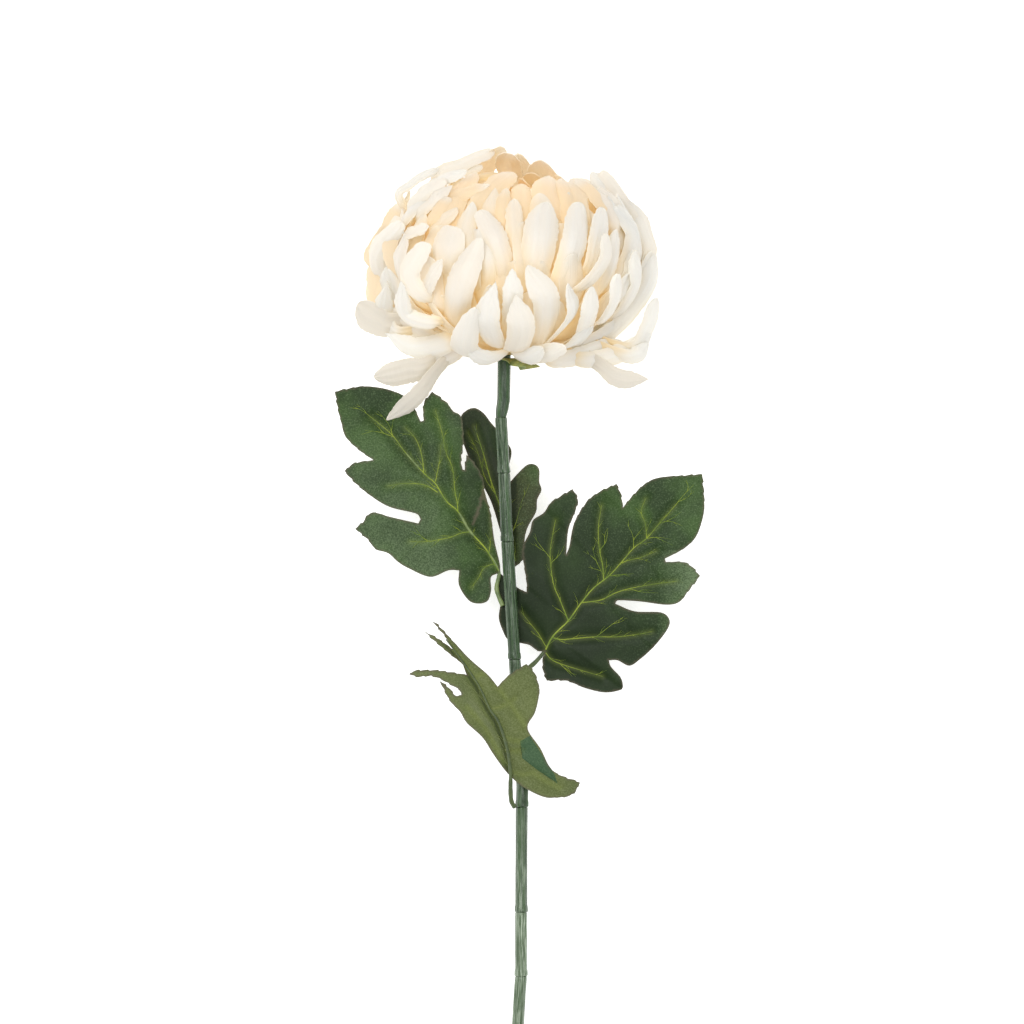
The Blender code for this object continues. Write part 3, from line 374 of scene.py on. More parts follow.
# Stalks from the stem to the leaves
LEFT_STALK = ((-0.7, -112, -1.2), (-3.5, -104, -2.7))
RIGHT_STALK = ((8.4, -143, -2.2), (14, -139, -4.9))
BACK_STALK = ((2.4, -95.5, -3.15), (3.6, -94.5, -8.8))
LOWER_STALK = ((5, -206, 3.4), (3.4, -203, 5), (3, -197, 8))
RIB_RADIUS = 0.8 * MM
STALK_RADIUS = 1.1 * MM
TOUCH_GAP = 0.3 * MM
SOLID_BLADE = 0.8 * MM
TWIG_REACH = 10

# What counts as a corner of an outline, and the teeth beside the lobes' tips, in millimetres
SHARP_TURN = math.radians(62)
TOOTHED_REACH = 18
TOOTH_LENGTH = 4.3
FAR = 99.0

# Widths of the middle vein, of the veins that crease the cloth and of small ones, how far all keep from the
# blade's edge, and the cloth's puffs between them, in millimetres
MIDRIB_WIDTH = 1.1
CREASING_WIDTH = 0.45
TWIG_WIDTH = 0.34
LAST_TWIG_WIDTH = 0.26
VEIN_MARGIN = 1.2
PUFF_REACH = 2.8
PUFF_RISE = 0.6
ROLL_HEIGHT = 0.35

# What the photograph shows: its width, 1024 pixels of 0.467 mm, and its middle in the flower's frame
PHOTO_WIDTH = 1024 * 0.467 * MM
PHOTO_MIDDLE = Vector((3.7, -68.2, 0)) * MM

# Stage: half the floor's width, and the lamps' places from the head, in metres
FLOOR_HALF = 8.0
LAMP_SIZE = 0.9
KEY_PLACE = Vector((-0.45, 0.2, 1.6))
FILL_PLACE = Vector((0.5, -0.8, 1.4))


def linear(*scale):
    """A shader's colour from one on the usual scale of 0 to 255."""
    return tuple(((value / 255 + 0.055) / 1.055) ** 2.4 for value in scale)


def colour_property(name, description, *scale):
    """A colour that the user can pick."""
    return bpy.props.FloatVectorProperty(name=name, description=description, subtype="COLOR", size=3,
                                         min=0.0, max=1.0, default=linear(*scale))


def length_property(name, description, default, low, high):
    """A length in metres that the user can set."""
    return bpy.props.FloatProperty(name=name, description=description, unit="LENGTH", subtype="DISTANCE",
                                   precision=5, min=low, max=high, default=default)


class BloomSettings(bpy.types.PropertyGroup):
    """Sizes and colours of the head's petals."""

    thickness: length_property("Cloth thickness", "Thickness of the woven petals", 0.4 * MM, 0.1 * MM, MM)
    ripple: length_property("Ripple", "How far the petals' edges wave", 0.45 * MM, 0.0, 2 * MM)
    fray: length_property("Fray", "Depth of the frayed notches along the edges", 0.42 * MM, 0.0, 1 * MM)
    pleat: length_property("Pleat", "Height of the soft folds along a petal", 0.14 * MM, 0.0, 0.5 * MM)
    fullness: bpy.props.FloatProperty(name="Fullness", description="How much of its width a petal shows",
                                      min=0.5, max=1.5, default=1.12)
    cup: bpy.props.FloatProperty(name="Cup", description="A petal's hollow, as a share of its width",
                                 min=0.0, max=0.6, default=0.15)
    ivory: colour_property("Ivory", "Colour at the tips", 245, 246, 245)
    cream: colour_property("Cream", "Colour at the bellies", 246, 245, 241)
    # Gold is also painted into the head's hollows and along the petals' sides, as warm shade
    gold: colour_property("Gold", "Colour towards the roots", 250, 228, 180)
    # Painted shade: amber goes into the deepest gaps between the petals
    amber_shade: colour_property("Amber", "Colour in the deepest gaps", 247, 203, 130)
    glow: colour_property("Glow", "Colour of light that comes through the cloth", 247, 244, 234)
    # Painted glow: the hollows give off honey as emission
    honey: colour_property("Honey", "Colour of the light that is caught deep in the head", 255, 224, 152)


class LeafSettings(bpy.types.PropertyGroup):
    """Sizes and colours of the leaves."""

    thickness: length_property("Cloth thickness", "Thickness of the woven blades", 0.45 * MM, 0.1 * MM, MM)
    spacing: length_property("Mesh spacing", "Distance between a blade's points", 1.1 * MM, 0.5 * MM, 5 * MM)
    puff: length_property("Puff", "How far the cloth stands up between the veins", 1.5 * MM, 0.0, 3 * MM)
    green: colour_property("Green", "Main colour of the upper side", 60, 86, 38)
    shade: colour_property("Shade", "Darker patches of the upper side", 34, 54, 20)
    dark: colour_property("Dark", "Deepest green, where a blade turns from the light", 20, 34, 11)
    # Painted sheen where a blade's pale numbers are high, and also the pale grains of the weave
    dust_and_sheen: colour_property("Dust", "Paler, greyer places of the upper side", 104, 124, 88)
    olive: colour_property("Olive", "Colour of the under side", 92, 103, 54)
    vein: colour_property("Vein", "Colour of the printed veins", 156, 172, 62)
    margin: colour_property("Margin", "Colour of the cut edges", 92, 84, 68)
    teal: colour_property("Teal", "Colour of the lobe that is turned over", 56, 84, 54)


class StemSettings(bpy.types.PropertyGroup):
    """Sizes and colours of the moulded stem."""

    groove: length_property("Groove", "Depth of the lengthwise grooves", 0.16 * MM, 0.0, 0.5 * MM)
    green: colour_property("Green", "Main colour of the plastic", 54, 84, 44)
    shade: colour_property("Shade", "Colour in the grooves", 30, 52, 26)
    worn: colour_property("Worn", "Colour of the dry pale streaks", 168, 182, 160)
    pale: colour_property("Pale", "Colour of the stalks and the calyx", 126, 142, 88)


class StageSettings(bpy.types.PropertyGroup):
    """The surface, the light and the camera."""

    floor: colour_property("Floor", "Colour of the surface", 250, 250, 250)
    sky: bpy.props.FloatProperty(name="Sky", description="Strength of the even light", min=0.0, default=0.62)
    key: bpy.props.FloatProperty(name="Key", description="Power of the main lamp", subtype="POWER",
                                 unit="POWER", min=0.0, default=14.0)
    fill: bpy.props.FloatProperty(name="Fill", description="Power of the side lamp", subtype="POWER",
                                  unit="POWER", min=0.0, default=6.0)
    distance: length_property("Camera distance", "From the flower to the camera", 5.0, 0.5, 20.0)


def flower_frame():
    """The way from the flower's own frame to the row frame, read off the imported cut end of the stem."""
    low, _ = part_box("stem_sleeve_8")
    turn = Matrix.Rotation(LYING_PITCH, 4, "X")
    left = STEM_LINE[-1][0] * MM - STEM_END_RADIUS
    back = turn @ Vector((0, STEM_END_Y, STEM_END_RADIUS))
    bottom = turn @ Vector((0, STEM_END_Y, -STEM_END_RADIUS))
    return Matrix.Translation((low.x - left, low.y - back.y, low.z - bottom.z)) @ turn


FLOWER = flower_frame()


def put(name, data):
    """A new object with its data, in the scene."""
    made = bpy.data.objects.new(name, data)
    bpy.context.scene.collection.objects.link(made)
    return made


def add_piece(name, points, faces, surfaces, slots=None, numbers=None, crease=50):
    """A piece in the row frame from points in the flower's frame, with a surface number for each face."""
    turn = np.array(FLOWER)
    placed = np.asarray(points, float) @ turn[:3, :3].T + turn[:3, 3]
    mesh = bpy.data.meshes.new(name)
    mesh.from_pydata(placed.tolist(), [], faces)
    for surface in surfaces:
        mesh.materials.append(surface)
    if slots is not None:
        mesh.polygons.foreach_set("material_index", np.asarray(slots, np.int32))
    mesh.polygons.foreach_set("use_smooth", np.ones(len(faces), bool))
    for label, values in (numbers or {}).items():
        values = np.asarray(values, np.float32)
        kind, field = ("FLOAT_VECTOR", "vector") if values.ndim == 2 else ("FLOAT", "value")
        mesh.attributes.new(label, kind, "POINT").data.foreach_set(field, values.ravel())
    mesh.validate()
    mesh.set_sharp_from_angle(angle=math.radians(crease))
    made = put(name, mesh)
    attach(made, "root")
    return made


def quad_up(low, turn, sides):
    """The face above a side of the ring that starts at a number."""
    beside = (turn + 1) % sides
    return low + turn, low + beside, low + sides + beside, low + sides + turn


def tube_faces(rings, sides):
    """The faces of a tube of rings of points."""
    lows = range(0, (rings - 1) * sides, sides)
    return [quad_up(low, turn, sides) for low in lows for turn in range(sides)]


def shell_faces(rings, sides):
    """The faces of a tube, of a second one on its other side and of the rims between them."""
    size = rings * sides
    faces = []
    for turn in range(sides):
        beside = (turn + 1) % sides
        for low in range(0, size - sides, sides):
            quad = quad_up(low, turn, sides)
            faces.append(quad)
            faces.append(tuple(size + corner for corner in reversed(quad)))
        for low in (0, size - sides):
            quad = (low + beside, low + turn, size + low + turn, size + low + beside)
            faces.append(quad if low == 0 else tuple(reversed(quad)))
    return faces


class Surface:
    """A surface in the making, with a short name for each kind of node in it."""

    def __init__(self, name):
        self.made = bpy.data.materials.new(name)
        self.made.use_nodes = True
        self.tree = self.made.node_tree
        self.tree.nodes.clear()

    def node(self, kind, values=None, **settings):
        """A shader node with its settings, and its sockets set to values or linked to other sockets."""
        made = self.tree.nodes.new(kind)
        for name, value in settings.items():
            setattr(made, name, value)
        for name, value in (values or {}).items():
            socket = made.inputs[name]
            if isinstance(value, bpy.types.NodeSocket):
                self.tree.links.new(value, socket)
            else:
                socket.default_value = value
        return made

    def kept(self, name, output="Fac"):
        """A number or vector kept at a piece's points."""
        return self.node("ShaderNodeAttribute", attribute_name=name).outputs[output]

    def place(self):
        """Where a point lies."""
        return self.node("ShaderNodeTexCoord").outputs["Object"]

    def stretched(self, place, scale):
        """A place stretched along its axes."""
        return self.node("ShaderNodeMapping", {"Vector": place, "Scale": scale}).outputs[0]

    def noise(self, place, scale, detail=3.0, roughness=0.55):
        """Cloudy values from 0 to 1, at one scale or at one for each axis."""
        if isinstance(scale, tuple):
            place, scale = self.stretched(place, scale), 1.0
        values = {"Vector": place, "Scale": scale, "Detail": detail, "Roughness": roughness}
        return self.node("ShaderNodeTexNoise", values).outputs["Fac"]

    def threads(self, place, axis, scale):
        """Threads one way across a cloth."""
        values = {"Vector": self.stretched(place, axis), "Scale": scale, "Distortion": 1.2, "Detail": 1.0}
        return self.node("ShaderNodeTexWave", values).outputs["Fac"]

    def ramp(self, value, low, high, start=0.0, end=1.0):
        """A value that goes smoothly from start to end as another goes from low to high."""
        return self.node("ShaderNodeMapRange", {0: value, 1: low, 2: high, 3: start, 4: end},
                         interpolation_type="SMOOTHSTEP").outputs[0]

    def combine(self, way, *values):
        """The sum, product or other result of two or three values."""
        return self.node("ShaderNodeMath", dict(enumerate(values)), operation=way).outputs[0]

    def times(self, first, second):
        """The product of two values."""
        return self.combine("MULTIPLY", first, second)

    def paint(self, colour, *coats):
        """A colour under coats, each with its share and its colour: three numbers or a socket."""
        for share, coat in coats:
            under, over = (c if isinstance(c, bpy.types.NodeSocket) else (*c, 1.0) for c in (colour, coat))
            colour = self.node("ShaderNodeMix", {0: share, 6: under, 7: over}, data_type="RGBA").outputs[2]
        return colour

    def relief(self, *layers):
        """Reliefs on one another, each with its heights, its strength and its depth in millimetres."""
        under = {}
        for height, strength, depth in layers:
            bump = {"Height": height, "Strength": strength, "Distance": depth * MM, **under}
            under = {"Normal": self.node("ShaderNodeBump", bump).outputs[0]}
        return under["Normal"]

    def finish(self, values, through=None, share=0.0):
        """The finished surface: the main shader, and a share of one that lets light through."""
        shader = self.node("ShaderNodeBsdfPrincipled", values).outputs[0]
        if through:
            thin = self.node("ShaderNodeBsdfTranslucent", through).outputs[0]
            shader = self.node("ShaderNodeMixShader", {0: share, 1: shader, 2: thin}).outputs[0]
        self.node("ShaderNodeOutputMaterial", {"Surface": shader})
        return self.made


def petal_surface(settings):
    """Satin petals: ivory tips, cream bellies, golden roots and light that glows through, with painted warm
    shade in the hollows, at the sides and on inner faces, painted grey shade on flat petals, a painted
    highlight on the rims and a painted glow in the hollows.
    """
    satin = Surface("petal_satin")
    cloth = satin.kept("cloth", "Vector")
    depth, tone_and_shade, reach, rim, inner = map(satin.kept, ("depth", "tone_and_shade", "reach", "edge", "inner"))
    cloud = satin.noise(cloth, (90, 45, 90))
    shifted = satin.combine("MULTIPLY_ADD", cloud, 0.24, satin.combine("ADD", reach, -0.12))
    # Painted shade: a golden tint towards a petal's sides, away from its end, for the shadows of the petals
    # beside it
    sides = satin.times(satin.ramp(rim, 0.35, 0.9, 0.0, 0.16), satin.ramp(reach, 0.6, 0.9, 1.0, 0.2))
    # Painted warm shade on the golden petals, which lie behind the crown, at the left edge and in hollows
    golden = satin.times(satin.ramp(tone_and_shade, 1.2, 1.8), satin.ramp(reach, 0.8, 0.98, 1.0, 0.15))
    peach = satin.paint(linear(250, 227, 186), (inner, linear(248, 241, 227)))
    streak = satin.noise(cloth, (1400, 60, 1), 4.0)
    colour = satin.paint(
        settings.gold,
        (satin.ramp(shifted, 0.14, 0.42), settings.cream),
        (satin.ramp(shifted, 0.38, 0.68), settings.ivory),
        # Painted warm shade: gold deeper in the ball, where light is caught between the petals
        (satin.ramp(depth, 0.11, 0.25, 0.0, 0.95), settings.gold),
        # Painted shade along the petals' sides
        (sides, settings.gold),
        # Painted shade: amber in the deepest gaps
        (satin.ramp(depth, 0.24, 0.4, 0.0, 0.85), settings.amber_shade),
        # Painted warm shade on the golden petals
        (satin.times(golden, 0.85), peach),
        # Painted warm shade on the petals' inner faces
        (satin.times(inner, 0.3), linear(248, 238, 218)),
        (satin.ramp(tone_and_shade, 0.5, 1.0, 0.0, 0.3), linear(251, 238, 218)),
        # Painted shade: grey on the flat petals that hang under the head
        (satin.ramp(tone_and_shade, 0.02, 0.12, 0.85, 0.0), linear(222, 217, 208)),
        (satin.ramp(streak, 0.35, 0.75, 0.0, 0.12), linear(242, 232, 212)),
        # Painted highlight along the rims
        (satin.times(satin.ramp(rim, 0.9, 0.99), 0.45), linear(255, 252, 245)))
    weft = satin.threads(cloth, (1, 0, 0), 620.0)
    threads = satin.combine("ADD", weft, satin.threads(cloth, (0, 1, 0), 480.0))
    relief = satin.relief((threads, 0.10, 0.06), (satin.noise(cloth, (900, 50, 1), 2.0), 0.8, 0.3),
                          (satin.noise(cloth, (140, 620, 1), 2.0), 0.3, 0.22))
    # Painted glow: the hollows and the inner faces give off warm light
    hollow = satin.combine("MAXIMUM", satin.ramp(depth, 0.11, 0.3, 0.0, 0.85), satin.times(inner, 0.7))
    painted_glow_colour = satin.paint(settings.honey, (inner, linear(250, 232, 198)))
    return satin.finish(
        {"Base Color": colour, "Roughness": 0.42, "Normal": relief, "Specular IOR Level": 0.4,
         "Sheen Weight": 0.15, "Sheen Roughness": 0.4, "Sheen Tint": (1.0, 0.98, 0.94, 1.0),
         # Painted glow from the hollows
         "Emission Color": satin.paint((0.0, 0.0, 0.0), (hollow, painted_glow_colour)), "Emission Strength": 0.21},
        {"Color": satin.paint(colour, (0.5, settings.glow)), "Normal": relief}, 0.38)


def core_surface():
    """The golden heart between the petals' roots."""
    cloth = Surface("heart_cloth")
    place = cloth.place()
    fray = cloth.ramp(cloth.noise(place, 160.0, 4.0), 0.3, 0.7)
    return cloth.finish({
        "Base Color": cloth.paint(linear(250, 212, 150), (fray, linear(252, 228, 182))),
        "Roughness": 0.7, "Normal": cloth.relief((cloth.noise(place, 420.0, 4.0), 0.8, 0.6))})


def leaf_surface(name, settings, main, shade, dust_and_sheen, warm=None):
    """Woven leaf cloth: clouded green with fine speckle, paler where the blade's pale numbers are high (a
    painted sheen on the left blade) and beside the veins, and painted shade where they are low.
    """
    cloth = Surface(name)
    place = cloth.place()
    clouds = cloth.noise(place, 42.0)
    speckle = cloth.noise(place, 1500.0, 2.0, 0.7)
    pale = cloth.kept("pale")
    coats = [(cloth.ramp(clouds, 0.36, 0.66), main),
             # Above zero the pale numbers paint the blade paler: a painted sheen on the left blade
             (cloth.times(pale, cloth.ramp(speckle, 0.3, 0.7, 0.45, 1.0)), dust_and_sheen)]
    if warm:
        coats.append((cloth.ramp(cloth.noise(place, 24.0, 2.0), 0.45, 0.7, 0.0, 0.55), warm))
    coats += [(cloth.ramp(speckle, 0.5, 0.68, 0.0, 0.42), dust_and_sheen),
              (cloth.ramp(speckle, 0.5, 0.34, 0.0, 0.5), shade),
              # Painted shade where the pale numbers fall below zero
              (cloth.ramp(pale, 0.0, -1.0, 0.0, 0.85), settings.dark),
              (cloth.times(cloth.kept("vein"), 0.12), settings.vein),
              (cloth.kept("edge"), settings.margin)]
    relief = cloth.relief((speckle, 0.35, 0.12), (cloth.noise(place, 210.0), 0.25, 0.4))
    return cloth.finish({
        "Base Color": cloth.paint(shade, *coats), "Roughness": 0.52, "Normal": relief,
        "Specular IOR Level": 0.22, "Sheen Weight": 0.03, "Sheen Roughness": 0.45})


def plain_surface(name, first, second, roughness, scale):
    """A matt surface of two clouded colours."""
    matt = Surface(name)
    place = matt.place()
    cloud = matt.ramp(matt.noise(place, scale, 4.0), 0.35, 0.65)
    return matt.finish({"Base Color": matt.paint(first, (cloud, second)), "Roughness": roughness,
                        "Normal": matt.relief((matt.noise(place, scale * 4), 0.4, 0.15))})


def stem_surface(settings):
    """Moulded plastic with painted shade in its grooves, dry pale streaks along it and glossy flecks."""
    plastic = Surface("stem_plastic")
    rod = plastic.kept("rod", "Vector")
    worn = plastic.kept("worn")
    long_streak = plastic.noise(rod, (900, 34, 1), 4.0, 0.6)
    fine_streak = plastic.noise(rod, (2600, 90, 1), 3.0, 0.6)
    patch = plastic.ramp(plastic.noise(rod, (60, 24, 1), 2.0), 0.25, 0.55)
    dry = plastic.times(plastic.times(plastic.ramp(fine_streak, 0.46, 0.62), worn), patch)
    colour = plastic.paint(
        settings.shade,
        # Painted shade in the grooves: the green covers the crests and leaves the shade colour in the
        # grooves
        (plastic.ramp(plastic.kept("crest"), 0.15, 0.8), settings.green),
        (plastic.ramp(long_streak, 0.42, 0.62, 0.0, 0.6), settings.shade),
        (plastic.ramp(worn, 0.3, 1.0, 0.0, 0.42), linear(112, 130, 102)),
        (dry, settings.worn))
    gloss = plastic.ramp(plastic.noise(rod, (420, 160, 1)), 0.4, 0.6, 0.2, 0.42)
    relief = plastic.relief((fine_streak, 0.5, 0.2), (plastic.noise(rod, (500, 300, 1)), 0.6, 0.35))
    return plastic.finish({"Base Color": colour, "Roughness": gloss, "Normal": relief,
                           "Specular IOR Level": 0.5})


def steel_surface():
    """Drawn steel wire."""
    steel = Surface("drawn_steel")
    marks = steel.noise(steel.place(), (3000, 60, 3000))
    return steel.finish({
        "Base Color": steel.paint(linear(150, 150, 148), (marks, linear(205, 205, 202))),
        "Metallic": 1.0, "Roughness": steel.ramp(marks, 0.3, 0.7, 0.25, 0.45)})


# Bloom


def bloom_axes():
    """The ball's own right, front and up."""
    right = Vector((1, 0, 0))
    front = Vector((0, -math.sin(BLOOM_LEAN), math.cos(BLOOM_LEAN)))
    up = Vector((0, math.cos(BLOOM_LEAN), math.sin(BLOOM_LEAN)))
    return right, front, up


def outward(point):
    """The way out of the ball at a point."""
    right, front, up = bloom_axes()
    away = point - BLOOM_CENTRE
    wide = BLOOM_RADIUS ** 2
    tall = BLOOM_HALF_HEIGHT ** 2
    way = right * (away.dot(right) / wide) + front * (away.dot(front) / wide) + up * (away.dot(up) / tall)
    return way.normalized()


def depth_in_ball(points):
    """How deep each point lies under the ball's surface, as a share of the way to its centre."""
    axes = np.array([tuple(axis) for axis in bloom_axes()])
    away = (np.asarray(points) - np.array(BLOOM_CENTRE)) @ axes.T
    return 1 - np.linalg.norm(away / (BLOOM_RADIUS, BLOOM_RADIUS, BLOOM_HALF_HEIGHT), axis=1)


def on_ball(x, y, shell, half):
    """The point of the front half (1), back half (-1) or outline (0) of a ball seen at x, y."""
    sine = math.sin(BLOOM_LEAN)
    cosine = math.cos(BLOOM_LEAN)
    wide = 1 / BLOOM_RADIUS ** 2
    tall = 1 / BLOOM_HALF_HEIGHT ** 2
    across = x - BLOOM_CENTRE.x
    along = y - BLOOM_CENTRE.y
    square = cosine ** 2 * wide + sine ** 2 * tall
    linear_part = 2 * along * sine * cosine * (tall - wide)
    rest = across ** 2 * wide + along ** 2 * (sine ** 2 * wide + cosine ** 2 * tall) - shell ** 2
    root = math.sqrt(max(0.0, linear_part ** 2 - 4 * square * rest))
    return Vector((x, y, BLOOM_CENTRE.z + (half * root - linear_part) / (2 * square)))


def at_angles(around, down, shell):
    """The point of the ball at an angle round its axis from the front, and one down from its top."""
    right, front, up = bloom_axes()
    ring = right * math.sin(around) + front * math.cos(around)
    radial = ring * (BLOOM_RADIUS * math.sin(down))
    return BLOOM_CENTRE + (radial + up * (BLOOM_HALF_HEIGHT * math.cos(down))) * shell


def core_root(point):
    """Where a petal leaves the core: under its lowest seen point, well inside."""
    away = point - CORE_CENTRE
    away.x /= CORE_RADIUS
    away.y /= CORE_HALF_HEIGHT
    away.z /= CORE_RADIUS
    away.normalize()
    reach = Vector((away.x * CORE_RADIUS, away.y * CORE_HALF_HEIGHT, away.z * CORE_RADIUS))
    return CORE_CENTRE + reach * ROOT_SHARE


def spline_point(points, place):
    """A smooth curve through the points, at 0 for the first and 1 for the last, and straight on past it."""
    last = len(points) - 1
    span = min(int(place * last), last - 1)
    part = place * last - span
    before = points[span - 1] if span else points[0] * 2 - points[1]
    after = points[span + 2] if span + 2 <= last else points[last] * 2 - points[last - 1]
    start = points[span]
    end = points[span + 1]
    cubic = (start - end) * 3 + after - before
    square = before * 2 - start * 5 + end * 4 - after
    return (start * 2 + (end - before) * part + square * part ** 2 + cubic * part ** 3) / 2


def seen_petals(table):
    """The middle line, width, roll and rest height of each petal that faces the front."""
    made = []
    for low, belly, tip, width, shell, half, roll in table:
        seen = [on_ball(x * MM, y * MM, shell * share, half)
                for (x, y), share in ((low, LOW_DEPTH), (belly, BELLY_DEPTH), (tip, 1.0))]
        made.append(([core_root(seen[0])] + seen, width * MM, roll, FREE_HEIGHT))
    return made


def whorl_line(around, swing, down, reach):
    """The middle line of a petal of a whorl, which swings round as it rises."""
    seen = []
    for share, depth in ((0.0, WHORL_LOW_DEPTH), (0.55, WHORL_BELLY_DEPTH), (1.0, 1.0)):
        below = math.radians(WHORL_SPAN * (1 - share))
        seen.append(at_angles(around + swing * (1 - share), down + below, reach * depth))
    return [core_root(seen[0])] + seen


def whorl_petals():
    """The same for the petals of the sides, the back and the inside, whorl by whorl."""
    draw = random.Random(PETAL_SEED)
    made = []
    for count, tip_angle, shell, width, back_only in WHORLS:
        for turn in range(count):
            around = math.tau * (turn + 0.5 * (len(made) % 2) + draw.uniform(-0.15, 0.15)) / count
            from_front = abs(math.remainder(around, math.tau))
            down = math.radians(tip_angle + draw.uniform(-7, 7))
            reach = shell + draw.uniform(-0.025, 0.025)
            swing = draw.uniform(-0.12, 0.12)
            roll = draw.uniform(-14, 14)
            if back_only and from_front < FRONT_SECTOR:
                continue
            rests = back_only and from_front > BACK_SECTOR
            line = whorl_line(around, swing, down, reach)
            made.append((line, width * MM, roll, 0.0 if rests else SIDE_HEIGHT))
    return made


def inner_petals():
    """The same for the small petals deep in the head."""
    draw = random.Random(PETAL_SEED + 1)
    made = []
    for row, (count, tip_angle, shell, width) in enumerate(INNER_WHORLS):
        for turn in range(count):
            around = math.tau * (turn + 0.5 * (row % 2) + draw.uniform(-0.3, 0.3)) / count
            down = math.radians(tip_angle + draw.uniform(-9, 9))
            reach = shell + draw.uniform(-0.04, 0.03) - FRONT_SINK * max(0.0, math.cos(around))
            line = whorl_line(around, draw.uniform(-0.2, 0.2), down, reach)
            made.append((line, width * draw.uniform(0.8, 1.1) * MM, draw.uniform(-25, 25), FREE_HEIGHT))
    return made


def petal_places(rows):
    """Places along a petal: few inside the head, most where it shows, and more where its tip rounds off."""
    inside = np.linspace(0.0, SHOWN_START, rows // 6, endpoint=False)
    tip = TIP_START + (PETAL_END - TIP_START) * np.sin(np.linspace(0.0, math.pi / 2, rows // 3))
    shown = np.linspace(SHOWN_START, TIP_START, rows - len(inside) - len(tip), endpoint=False)
    return np.concatenate([inside, shown, tip])


def petal_frames(points, places, roll):
    """Middle, side and outward vectors at places along a petal."""
    frames = []
    for place in places:
        place = float(place)
        centre = spline_point(points, place)
        before = spline_point(points, max(0.0, place - 0.02))
        ahead = (spline_point(points, place + 0.02) - before).normalized()
        out = outward(centre)
        out = (out - ahead * out.dot(ahead)).normalized()
        out = Matrix.Rotation(math.radians(roll), 3, ahead) @ out
        frames.append((centre, ahead.cross(out), out))
    return [np.array([tuple(frame[i]) for frame in frames]) for i in range(3)]


def beyond(places, start):
    """How far places lie along a petal's end: 0 up to its start and 1 at the petal's end."""
    return np.clip((places - start) / (PETAL_END - start), 0, 1)


def petal_sheet(points, width, roll, rest_height, settings, draw, rows, columns, golden):
    """One petal's cloth: its points on the outer face and then the inner one, and numbers at each."""
    places = petal_places(rows)
    centre, side, out = (each[:, None] for each in petal_frames(points, places, roll))
    flat = abs(roll) >= FLAT_ROLL
    high = min(1.0, max(0.0, (points[-1].y / MM - 35) / 30))
    blunt = draw.uniform(1.1, 2.1) + draw.uniform(0.2, 1.5) * high
    along = places[:, None]
    across = np.linspace(-1, 1, columns)
    body = np.interp(along, (0.0, 0.33, 0.6, 0.83, PETAL_END), (0.45, 0.82, 0.98, 1.0, 0.96))
    rounding = (1 - beyond(along, TIP_START) ** blunt) ** (1 / blunt)
    half = width * settings.fullness * body * np.maximum(rounding, 0.02) / 2
    phase = draw.uniform(0, math.tau)
    waves = draw.uniform(1.4, 2.8)
    ripple = settings.ripple * draw.uniform(0.3, 1.3)
    tilt = draw.uniform(-0.06, 0.06)
    curl = width * draw.uniform(0.06, 0.24) * (0.3 if flat else 1)
    fray = np.array([[draw.uniform(-1, 0.3) for _ in (0, 1)] for _ in places]) * settings.fray
    fray *= np.interp(along, (0.25, 0.4, 0.98, PETAL_END), (0, 1, 1.3, 0))
    beside = half * across
    lean = width * draw.uniform(-0.2, 0.2)
    beside += lean * beyond(along, LEAN_START) ** 2
    beside[:, 0] -= fray[:, 0]
    beside[:, -1] += fray[:, 1]
    cup = 2 * half * settings.cup * draw.uniform(0.6, 1.5) * (0.4 if flat else 1)
    lift = -cup * across ** 2
    wave = np.sin(math.tau * waves * along + phase + 1.6 * np.sign(across))
    lift += ripple * wave * np.abs(across) ** 3 * np.clip(along * 2 - 0.4, 0, 1)
    folds = draw.uniform(2.2, 4.2)
    slant = draw.uniform(-2.0, 2.0)
    pleats = np.cos(math.pi * folds * across + phase + slant * along)
    lift += settings.pleat * draw.uniform(0.4, 1.4) * pleats * np.minimum(1, half / (2 * MM))
    lift += tilt * beside
    lift -= curl * beyond(along, CURL_START) ** 2
    outer = centre + side * beside[..., None] + out * lift[..., None]
    slope = 2 * cup * across / half
    normal = out + side * slope[..., None]
    normal /= np.linalg.norm(normal, axis=2, keepdims=True)
    inner = outer - normal * settings.thickness
    sheet = np.concatenate([outer.reshape(-1, 3), inner.reshape(-1, 3)])
    ground = -STEM_END_RADIUS - (sheet[:, 1] - STEM_END_Y) * math.tan(LYING_PITCH)
    sheet[:, 2] = np.maximum(sheet[:, 2], ground + rest_height + GROUND_GAP)
    length = (points[-1] - points[0]).length
    seed = draw.uniform(0, 30)
    grid = np.stack([beside, np.repeat(along * length, columns, 1), np.full_like(beside, seed)], 2)
    reach = np.repeat(along / PETAL_END, columns, 1).ravel()
    edge = np.maximum(np.abs(across), beyond(along, RIM_START)).ravel()
    # 2 marks the golden petals, painted with warm shade, and 0 the flat ones, painted with grey shade; the
    # rest get a random tone
    tone_and_shade = np.full(2 * len(reach), 2.0 if golden else 0.0 if flat else draw.uniform(0.15, 1.0))
    return sheet, {"cloth": np.tile(grid.reshape(-1, 3), (2, 1)), "reach": np.tile(reach, 2),
                   "edge": np.tile(edge, 2), "tone_and_shade": tone_and_shade, "inner": np.repeat((0.0, 1.0), len(reach))}


def sheet_faces(rows, columns, start):
    """The faces of one petal: both sides and the rim between them."""
    size = rows * columns
    grid = (start + np.arange(size)).reshape(rows, columns).tolist()
    faces = []
    for near, far in zip(grid, grid[1:]):
        for a, b, c, d in zip(near, near[1:], far[1:], far):
            faces += [(a, b, c, d), (d + size, c + size, b + size, a + size)]
    rim = grid[0] + [row[-1] for row in grid[1:]] + grid[-1][-2::-1] + [row[0] for row in grid[-2:0:-1]]
    return faces + [(there, here, here + size, there + size) for here, there in zip(rim, rim[1:] + rim[:1])]


